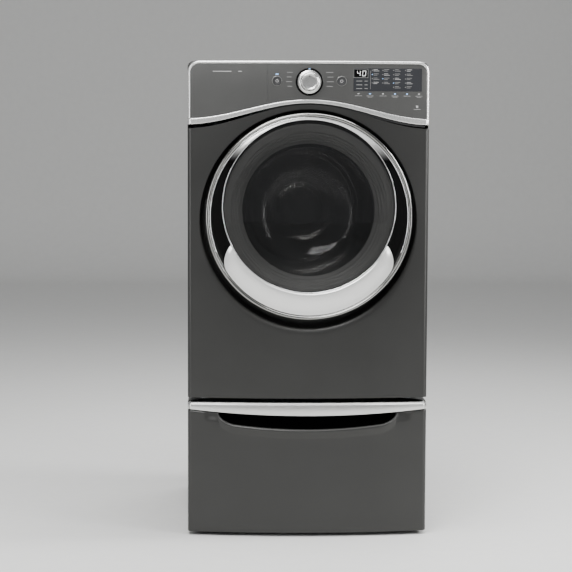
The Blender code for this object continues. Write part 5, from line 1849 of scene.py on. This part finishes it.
@dataclass
class Door:
    """The round door: bead, gloss face, crescents, smoked window, glass bowl and back frame."""

    ring_radius: float = 0.2913
    ring_inner: float = 0.2775
    window_radius: float = 0.2450
    skirt: float = 0.2880
    proud: float = 0.062
    steps: int = 240

    def bead(self) -> None:
        """The chrome bead round the door: its outer round painted dark as a dark reflection, and a bright
        chrome arc inside its upper part as a painted highlight.
        """
        front = FRONT - self.proud
        outer, inner = self.ring_radius, self.ring_inner
        half, groove = 0.0054, inner + 0.0028
        section = [(outer, front + 0.016), (outer, front + 0.0060)]
        for angle in range(12, 169, 12):
            turn = radians(angle)
            section.append((outer - half * (1 - cos(turn)), front + 0.0060 * (1 - sin(turn))))
        section += [(groove, front + 0.0072), (inner + 0.0006, front + 0.0076), (inner, front + 0.0080)]
        section.append((inner, front + 0.016))
        ring = Stock("door_bead").turned(section, (0.0, RING_Z), self.steps).piece(CHROME_PAINTED_DARK, 40.0)
        fit(ring, "door", "chrome", "door_outer_ring")
        # Painted highlight: a separate bright chrome arc with rounded tips, ending where a lamp's
        # reflection along the bead would end
        rows = []
        reach = 111.5
        for a in spread(-reach, reach, 181):
            turn = radians(a)
            size = 0.0017 * sqrt(max(0.0, 1 - max(0.0, (abs(a) - reach + 1.6) / 1.6) ** 2)) + 0.00002
            middle = inner + 0.0012
            row = []
            for k in range(14):
                round_turn = 2 * pi * k / 14
                r = middle + size * cos(round_turn)
                row.append((
                    r * sin(turn), front + 0.0048 - size * 1.25 * sin(round_turn),
                    RING_Z + r * cos(turn)
                ))
            rows.append(row)
        line = Stock("door_bright_bead").rows(rows, ring=True, caps=True).piece(CHROME, 50.0)
        fit(line, "door", "chrome")

    def face(self) -> None:
        """The gloss black face, dished between the bead and the window."""
        outer, inner = self.ring_inner - 0.0004, self.window_radius + 0.0004
        rows = []
        for t, depth in (
            (0.0, 0.0475), (0.0, 0.0530), (0.06, 0.0546), (0.2, 0.0552), (0.4, 0.0551), (0.6, 0.0549),
            (0.8, 0.0550), (0.95, 0.0556), (1.0, 0.0560), (1.0, 0.0475)
        ):
            row = []
            for i in range(self.steps):
                a = 2 * pi * i / self.steps
                far = (outer * sin(a), RING_Z + outer * cos(a))
                near = (inner * sin(a), WINDOW_Z + inner * cos(a))
                x, z = mix(far, near, t)
                row.append((x, FRONT - depth, z))
            rows.append(row)
        ring = Stock("door_gloss_face").rows(rows, ring=True, loop=True).piece(GLOSS, 40.0)
        fit(ring, "door", "gloss_black", "door_face_ring")

    def crescent(self) -> None:
        """The pearl crescent, proudest beside the window and rolling down to the bead."""
        inner = arc((0.0, WINDOW_Z), self.window_radius + 0.0004, -26.0, -154.0, 97)
        foot = arc((0.0, RING_Z), self.ring_inner + 0.0010, -35.0, -145.0, 73)
        tip, bulge = inner[0], (0.2529, 0.7946)
        horn = []
        for t in spread(0.0, 1.0, 13)[:-1]:
            horn.append(mix(mix(tip, bulge, t), mix(bulge, foot[0], t), t))
        outer = horn + foot + [(-x, z) for x, z in reversed(horn)]
        lengths = [0.0]
        for a, b in zip(outer, outer[1:]):
            lengths.append(lengths[-1] + dist(a, b))
        rows = []
        for k, near in enumerate(inner):
            want = lengths[-1] * k / (len(inner) - 1)
            i = max(j for j in range(len(lengths) - 1) if lengths[j] <= want + 1e-12)
            far = mix(outer[i], outer[i + 1], (want - lengths[i]) / (lengths[i + 1] - lengths[i]))
            wide = dist(near, far)
            row = [(near[0], FRONT - 0.0550, near[1])]
            for t in (0.0, 0.02, 0.06, 0.12, 0.2, 0.3, 0.4, 0.5, 0.6, 0.7, 0.8, 0.88, 0.94, 0.98, 1.0):
                x, z = mix(near, far, t)
                edge = smooth(min(t, 1 - t) * wide / 0.0022)
                rise = 0.0616 - 0.0058 * smooth(t * 1.15 - 0.15)
                full = 0.0552 + (rise - 0.0552) * smooth(wide / 0.02)
                row.append((x, FRONT - 0.0552 - (full - 0.0552) * (0.35 + 0.65 * edge), z))
            row.append((far[0], FRONT - 0.0550, far[1]))
            rows.append(row)
        piece = Stock("door_lower_crescent").rows(rows, ring=True, caps=True).piece(PEARL, 50.0)
        fit(piece, "door", "satin_silver", "door_crescent")

    def brow(self) -> None:
        """The upper part of the gloss face, with a painted silver reflection of the light from above that
        shades to black at its two ends.
        """
        rows = []
        reach = 64.0
        for a in spread(-reach, reach, 121):
            turn = radians(a)
            near = (
                (self.window_radius - 0.0008) * sin(turn),
                WINDOW_Z + (self.window_radius - 0.0008) * cos(turn)
            )
            low, high = 0.0, 0.2
            for _ in range(30):
                middle = (low + high) / 2
                inside = hypot(
                    near[0] + middle * sin(turn), near[1] + middle * cos(turn) - RING_Z
                ) < self.ring_inner - 0.0006
                low, high = (middle, high) if inside else (low, middle)
            far = (near[0] + low * sin(turn), near[1] + low * cos(turn))
            row = []
            for t, depth in (
                (0.0, 0.0540), (0.0, 0.0588), (0.10, 0.0594), (0.3, 0.0590), (0.5, 0.0583), (0.7, 0.0575),
                (0.9, 0.0568), (1.0, 0.0562), (1.0, 0.0540)
            ):
                x, z = mix(near, far, t)
                row.append((x, FRONT - depth, z))
            rows.append(row)
        piece = Stock("door_upper_crescent").rows(rows, ring=True, caps=True).piece(FADED, 50.0)
        fit(piece, "door", "satin_silver")

    def inner_frame(self) -> None:
        """The stepped grey ring behind the window's edge, which leads in to the glass bowl."""
        line = [
            (0.2440, -0.0475), (0.2380, -0.0490), (0.2210, -0.0480), (0.2190, -0.0440), (0.2130, -0.0430),
            (0.2115, -0.0390)
        ]
        line += [
            (0.2060, -0.0375), (0.2045, -0.0320), (0.1990, -0.0300), (0.1965, -0.0200), (0.1900, -0.0150),
            (0.1875, -0.0110)
        ]
        line += [(0.2040, -0.0108), (0.2400, -0.0300)]
        points = [(r, FRONT + y) for r, y in fillet(line, 0.0010, 2)]
        ring = Stock("door_inner_frame").turned(
            points, (0.0, AXIS_Z + 0.012), self.steps
        ).piece(FRAME_GREY, 40.0)
        fit(ring, "door", "black_plastic")

    def window(self) -> None:
        """The domed smoked window and the bright line round it."""
        front, dome, radius = FRONT - 0.0560, 0.0050, self.window_radius - 0.0002
        rise = [(radius * t, front - dome * (1 - t * t)) for t in spread(0.0, 1.0, 25)]
        profile = rise + [(radius, front + 0.004)] + [(r, y + 0.004) for r, y in reversed(rise[:-1])]
        glass = Stock("door_smoked_window").turned(
            profile, (0.0, WINDOW_Z), self.steps, closed=False
        ).piece(TINTED)
        fit(glass, "door", "tinted_glass", "door_window")
        line = fillet(
            [(0.2425, FRONT - 0.0562), (0.2428, FRONT - 0.0584), (0.2438, FRONT - 0.0590),
            (0.2449, FRONT - 0.0586), (0.2452, FRONT - 0.0562)], 0.0005, 3
        )
        ring = Stock("door_window_bezel").turned(line, (0.0, WINDOW_Z), self.steps).piece(CHROME, 50.0)
        fit(ring, "door", "chrome")

    def bowl(self) -> None:
        """The pressed glass bowl that holds the wash back from the window."""
        outer = [
            (0.2050, -0.0103), (0.2050, -0.0045), (0.1870, -0.0045), (0.1800, 0.0300), (0.1650, 0.0800),
            (0.1400, 0.1150), (0.0950, 0.1320), (0.0, 0.1378)
        ]
        inner = [
            (0.0, 0.1330), (0.0930, 0.1272), (0.1365, 0.1110), (0.1602, 0.0780), (0.1750, 0.0290),
            (0.1815, -0.0103)
        ]
        out_line = fillet(outer, 0.020, 5, closed=False)
        in_line = fillet(inner, 0.020, 5, closed=False)
        stock = Stock("door_glass_bowl")
        points = [(r, FRONT + y) for r, y in in_line[::-1]]
        rim = [(r, FRONT + y) for r, y in out_line]
        stock.turned(rim, (0.0, AXIS_Z), 160, closed=False)
        stock.turned(points, (0.0, AXIS_Z), 160, closed=False)
        stock.turned([rim[0], points[0]], (0.0, AXIS_Z), 160, closed=False)
        fit(stock.piece(CLEAR, 40.0), "door", "clear_glass", "door_bowl")

    def back(self) -> None:
        """The moulded back frame with its seal land, stiffening ribs and screws."""
        profile = [
            (self.skirt, -0.0457), (self.skirt, -0.0050), (self.skirt - 0.0020, -0.0018),
            (self.skirt - 0.0085, 0.0016)
        ]
        profile += [
            (0.2680, 0.0020), (0.2560, 0.0020), (0.2540, 0.0002), (0.2330, 0.0002), (0.2310, 0.0020),
            (0.2100, 0.0020)
        ]
        profile += [
            (0.1960, 0.0012), (0.1912, -0.0008), (0.1910, -0.0040), (0.2740, -0.0040), (0.2815, -0.0120),
            (0.2815, -0.0457)
        ]
        points = [(r, FRONT + y) for r, y in fillet(profile, 0.0012, 2)]
        frame_ring = Stock("door_back_ring").turned(points, (0.0, RING_Z), self.steps).piece(MATT, 35.0)
        slot = Stock("hinge_slot").box(
            (-0.31, FRONT - 0.05, RING_Z - 0.054), (-0.2360, FRONT + 0.02, RING_Z + 0.054), 0.003
        ).piece(MATT)
        line = [(0.0, FRONT - 0.01), (0.1908, FRONT - 0.01), (0.1908, FRONT + 0.01), (0.0, FRONT + 0.01)]
        hole = Stock("bowl_hole").turned(line, (0.0, AXIS_Z), 160, closed=False).piece(MATT)
        frame_ring = cut(frame_ring, [slot, hole], MATT, 35.0)
        fit(frame_ring, "door", "black_plastic", "door_back_frame")
        places = []
        for k in range(12):
            angle = radians(15 + 30 * k)
            places.append((
                (0.2435 * sin(angle), FRONT + 0.0002, RING_Z + 0.2435 * cos(angle)),
                (0.0, 1.0, 0.0)
            ))
        screws = Repeat("door_back_screws").at_points(places, screw_head(0.0046), ZINC)
        fit(screws, "door", "stainless_steel")

    def build(self) -> None:
        """Builds the door from the front to the back."""
        self.bead()
        self.face()
        self.crescent()
        self.brow()
        self.inner_frame()
        self.window()
        self.bowl()
        self.back()


# ---------------------------------------------------------------- inside


@dataclass
class WashUnit:
    """What shows of the tub's suspension and the seal between tub and cabinet."""

    suspension_y: float = FRONT + 0.360
    spring_x: float = 0.215
    spring_low: float = 1.166
    spring_high: float = 1.300

    def seal(self) -> None:
        """The rubber bellows, with a clamped bead at each end and soft folds between."""
        outer = [(0.1992, FRONT + 0.0142)]
        inner = [(0.1925, FRONT + 0.0142)]
        for t in spread(0.0, 1.0, 49):
            y = FRONT + 0.0175 + 0.0665 * t
            fold = 0.0016 * (1 - cos(6 * pi * t))
            outer.append((0.1955 + fold, y))
            inner.append((0.1922 + fold * 0.9, y))
        stock = Stock("door_seal").turned(outer + inner[::-1], (0.0, AXIS_Z), 160)
        seal = stock.piece(EPDM, 50.0)
        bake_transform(seal)
        settle_slot(seal, ["door_gasket"])

    def springs(self) -> None:
        """Two coil springs that the tub hangs on."""
        for label, x in (("left", -self.spring_x), ("right", self.spring_x)):
            turns, steps = 9, 24
            path = []
            for i in range(turns * steps + 1):
                angle = 2 * pi * i / steps
                z = self.spring_low + (self.spring_high - self.spring_low) * i / (turns * steps)
                path.append(Vector((x + 0.0105 * cos(angle), self.suspension_y + 0.0105 * sin(angle), z)))
            rows = []
            for i, point in enumerate(path):
                along = (path[min(i + 1, len(path) - 1)] - path[max(i - 1, 0)]).normalized()
                side = along.cross(Vector((0.0, 0.0, 1.0))).normalized()
                up = side.cross(along)
                rows.append([
                    tuple(point + 0.0017 * (side * cos(a) + up * sin(a)))
                    for a in (2 * pi * k / 10 for k in range(10))
                ])
            coil = Stock(f"tub_spring_{label}").rows(rows, ring=True, caps=True).piece(SPRING, 60.0)
            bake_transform(coil)
            settle_slot(coil, [f"suspension_spring_{label}"])

    def ribs(self) -> None:
        """Moulded ribs round the tub's shell."""
        rib = Stock("rib_pattern").box((-0.0012, -0.085, 0.0), (0.0012, 0.085, 0.0060), 0.0006).piece(RESIN)
        places = []
        for k in range(24):
            angle = 2 * pi * (k + 0.5) / 24
            across, rise = sin(angle), cos(angle)
            if abs(across) > 0.60 and rise > 0.55 or rise < -0.75:
                continue
            places.append(((0.2968 * across, FRONT + 0.205, AXIS_Z + 0.2968 * rise), (across, 0.0, rise)))
        ribs = Repeat("tub_front_ribs").at_points(places, rib, RESIN)
        fit(ribs, "wash_unit", "tub_plastic")

    def build(self) -> None:
        """Builds the seal, the springs and the tub's ribs."""
        self.seal()
        self.springs()
        self.ribs()


@dataclass
class Drum:
    """The perforated drum with its three baffles."""

    radius: float = 0.276
    wall: float = 0.002
    front: float = FRONT + 0.118
    rear: float = FRONT + 0.590
    lip: float = 0.216

    def shell(self) -> None:
        """The spun drum: a rolled lip, the wall and a dished, ribbed back."""
        wall, r = self.wall, self.radius
        outer = [
            (self.lip, self.front), (r - 0.012, self.front), (r - 0.004, self.front + 0.002),
            (r, self.front + 0.008), (r, self.rear - 0.003), (r - 0.003, self.rear), (0.0, self.rear)
        ]
        inner = [
            (0.0, self.rear - wall), (0.060, self.rear - wall), (0.075, self.rear - 0.008),
            (0.095, self.rear - 0.008), (0.110, self.rear - wall - 0.001)
        ]
        inner += [
            (0.165, self.rear - wall - 0.001), (0.180, self.rear - 0.009), (0.200, self.rear - 0.009),
            (0.215, self.rear - wall - 0.001)
        ]
        inner += [
            (r - wall - 0.006, self.rear - wall), (r - wall, self.rear - 0.008),
            (r - wall, self.front + 0.010)
        ]
        inner += [
            (r - 0.006, self.front + 0.006), (r - 0.012, self.front + 0.004),
            (self.lip + 0.004, self.front + 0.004), (self.lip, self.front + 0.003)
        ]
        stock = Stock("drum_shell")
        lines = [fillet(outer, 0.003, 2, closed=False), fillet(inner, 0.004, 3, closed=False)]
        stock.turned(lines[0], (0.0, AXIS_Z), 192, closed=False)
        stock.turned(lines[1], (0.0, AXIS_Z), 192, closed=False)
        stock.turned([lines[1][-1], lines[0][0]], (0.0, AXIS_Z), 192, closed=False)
        fit(stock.piece(STAINLESS, 40.0), "drum_group", "stainless_steel", "drum")

    def holes(self) -> None:
        """Rows of shallow dimples coloured dark, as painted shade for the mouths of pierced holes."""
        rows = []
        for r, z in ((0.0034, -0.0002), (0.0030, 0.0004), (0.0020, 0.0003)):
            rows.append([(r * cos(2 * pi * k / 8), r * sin(2 * pi * k / 8), z) for k in range(8)])
        pattern = Stock("hole_pattern").rows(rows, ring=True, caps=True).piece(MATT, 20.0)
        repeat = Repeat("drum_perforations")
        made = repeat.round_wall(
            self.radius - self.wall, self.front + 0.040, 0.0155, 26, 72, pattern, HOLE_PAINTED_SHADE
        )
        fit(made, "drum_group", "stainless_steel")

    def baffles(self) -> None:
        """Three hollow ridges that lift the wash, rounded along their length."""
        for index, degrees in enumerate((60, 180, 300)):
            turn = radians(degrees)
            low, high = self.front + 0.05, self.rear - 0.03
            rows = []
            for t in spread(0.0, 1.0, 41):
                swell = sqrt(max(0.0, 1 - abs(2 * t - 1) ** 6))
                rise = 0.006 + 0.039 * swell
                row = []
                for s in spread(-1.0, 1.0, 15):
                    width = 0.0235 * (0.75 + 0.25 * swell)
                    x = width * s * (1 - 0.62 * (1 - abs(s)) ** 1.0 * (1 - abs(s)))
                    height = rise * (1 - abs(s) ** 1.7)
                    reach = -0.2714 + height
                    row.append((
                        x * cos(turn) - reach * sin(turn), low + (high - low) * t,
                        AXIS_Z + x * sin(turn) + reach * cos(turn)
                    ))
                rows.append(row)
            baffle = Stock(f"drum_lifter_{index + 1}").rows(rows, ring=True, caps=True).piece(WHITE, 50.0)
            fit(baffle, "drum_group", "white_plastic", f"drum_baffle_{index + 1}")

    def build(self) -> None:
        """Builds the drum group's visible pieces."""
        self.shell()
        self.holes()
        self.baffles()


# ---------------------------------------------------------------- kept solids


KEPT = {
    "drawer_rail_left": ZINC,
    "drawer_rail_right": ZINC,
    "base_pan": ZINC,
    "top_brace": ZINC,
    "control_board": BOARD,
    "dispenser_housing": WHITE,
    "door_lock": MATT,
    "hinge_bracket": ECOAT,
    "hinge_pin": ECOAT,
    "drain_pump": WHITE,
    "inlet_valve": WHITE,
    "damper_cylinder_left": MATT,
    "damper_cylinder_right": MATT,
    "tub_rear": RESIN,
    "tub_front": RESIN,
    "front_counterweight": CONCRETE,
    "motor_stator": COPPER,
    "drum_bearing": SPRING,
    "damper_rod_left": ZINC,
    "damper_rod_right": ZINC,
    "drum_spider": CASTING,
    "motor_rotor": ZINC,
    "door_hinge_arm": ECOAT,
    "door_strike": STAINLESS,
    "dispenser_tray": WHITE,
    "pedestal_drawer_box": ZINC,
}


def dress_kept() -> None:
    """Gives each solid that stays in view its real finish."""
    for name, finish in KEPT.items():
        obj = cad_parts[name]
        made = finish.material()
        if not obj.material_slots:
            obj.data.materials.append(made)
        for slot in obj.material_slots:
            slot.material = made
        LOG.info("%s kept, %s", name, made.name)


# ---------------------------------------------------------------- studio


@dataclass
class Studio:
    """The camera, the floor and the lamps."""

    eye: Point = (-0.237, -5.533, 1.163)
    yaw: float = 1.919
    pitch: float = 4.869
    roll: float = 0.209
    lens: float = 115.26
    sensor: float = 36.0
    furthest: float = 100.0

    def camera(self) -> None:
        """Sets the camera by its heading, its dip and its roll."""
        data = bpy.data.cameras.new("camera")
        data.lens = self.lens
        data.sensor_width = self.sensor
        data.clip_end = self.furthest
        obj = bpy.data.objects.new("camera", data)
        bpy.context.scene.collection.objects.link(obj)
        yaw, pitch, roll = (radians(v) for v in (self.yaw, self.pitch, self.roll))
        ahead = Vector((sin(yaw) * cos(pitch), cos(yaw) * cos(pitch), -sin(pitch)))
        right = Vector((cos(yaw), -sin(yaw), 0.0))
        up = right.cross(ahead)
        tilted_right = right * cos(roll) + up * sin(roll)
        tilted_up = up * cos(roll) - right * sin(roll)
        turn = Matrix((tilted_right, tilted_up, -ahead)).transposed()
        obj.matrix_world = Matrix.Translation(self.eye) @ turn.to_4x4()
        bpy.context.scene.camera = obj

    def floor(self) -> None:
        """A plain pale floor that runs up to a plain pale wall."""
        far, high, half, cove = 8.5, 6.0, 14.0, 0.8
        line = [(-half, 0.0), (1.0, 0.0)] + [
            (far - cove + cove * sin(radians(a)), cove - cove * cos(radians(a)))
            for a in (15, 30, 45, 60, 75, 90)
        ] + [(far, high)]
        rows = [[(-half, y, z), (half, y, z)] for y, z in line]
        floor = Stock("studio_floor").rows(rows).piece(PLASTER, 80.0)

    def lamp(self, name: str, place: Point, aim: Point, size: Flat, power: float) -> None:
        """Adds one soft rectangular lamp.

        Args:
            name: the lamp's name.
            place: where it stands.
            aim: what it points at.
            size: its width and height.
            power: its power in watts.
        """
        data = bpy.data.lights.new(name, "AREA")
        data.shape = "RECTANGLE"
        data.size, data.size_y = size
        data.energy = power
        obj = bpy.data.objects.new(name, data)
        obj.location = place
        obj.rotation_euler = (Vector(aim) - Vector(place)).to_track_quat("-Z", "Y").to_euler()
        obj.visible_camera = False
        bpy.context.scene.collection.objects.link(obj)

    def lamps(self) -> None:
        """Broad soft light from above in front, fills at the sides, a narrow lamp at the right."""
        self.lamp("key_lamp", (-1.4, -4.2, 4.2), (0.0, -0.3, 0.9), (3.0, 1.6), 260.0)
        self.lamp("fill_lamp", (3.0, -2.4, 1.4), (0.0, -0.2, 0.8), (0.8, 2.4), 60.0)
        self.lamp("side_lamp", (-2.8, -2.0, 1.5), (0.0, -0.2, 0.9), (0.8, 2.4), 40.0)
        self.lamp("top_lamp", (0.0, -0.6, 3.6), (0.0, -0.2, 1.0), (3.0, 1.6), 130.0)
        self.lamp("edge_lamp", (2.4, -0.2, 1.9), (0.3, -0.2, 1.1), (0.5, 1.4), 70.0)
        self.lamp("rear_lamp", (0.8, 2.2, 2.8), (0.0, 0.4, 0.8), (2.0, 1.2), 40.0)
        world = bpy.data.worlds.new("studio_sky")
        world.use_nodes = True
        sky = world.node_tree.nodes["Background"]
        sky.inputs["Color"].default_value = linear("C9CACC")
        sky.inputs["Strength"].default_value = 0.50
        bpy.context.scene.world = world

    def build(self) -> None:
        """Builds the studio."""
        self.camera()
        self.floor()
        self.lamps()


def main() -> None:
    """Builds every sub-assembly in order."""
    logging.basicConfig(level=logging.INFO, format="%(message)s")
    Studio().build()
    Pedestal().build()
    StorageDrawer().build()
    FrontPanel().build()
    Cabinet().build()
    console = Console()
    console.build()
    DetergentDrawer(console).build()
    Controls().build()
    Door().build()
    WashUnit().build()
    Drum().build()
    dress_kept()


if __name__ == "__main__":
    main()
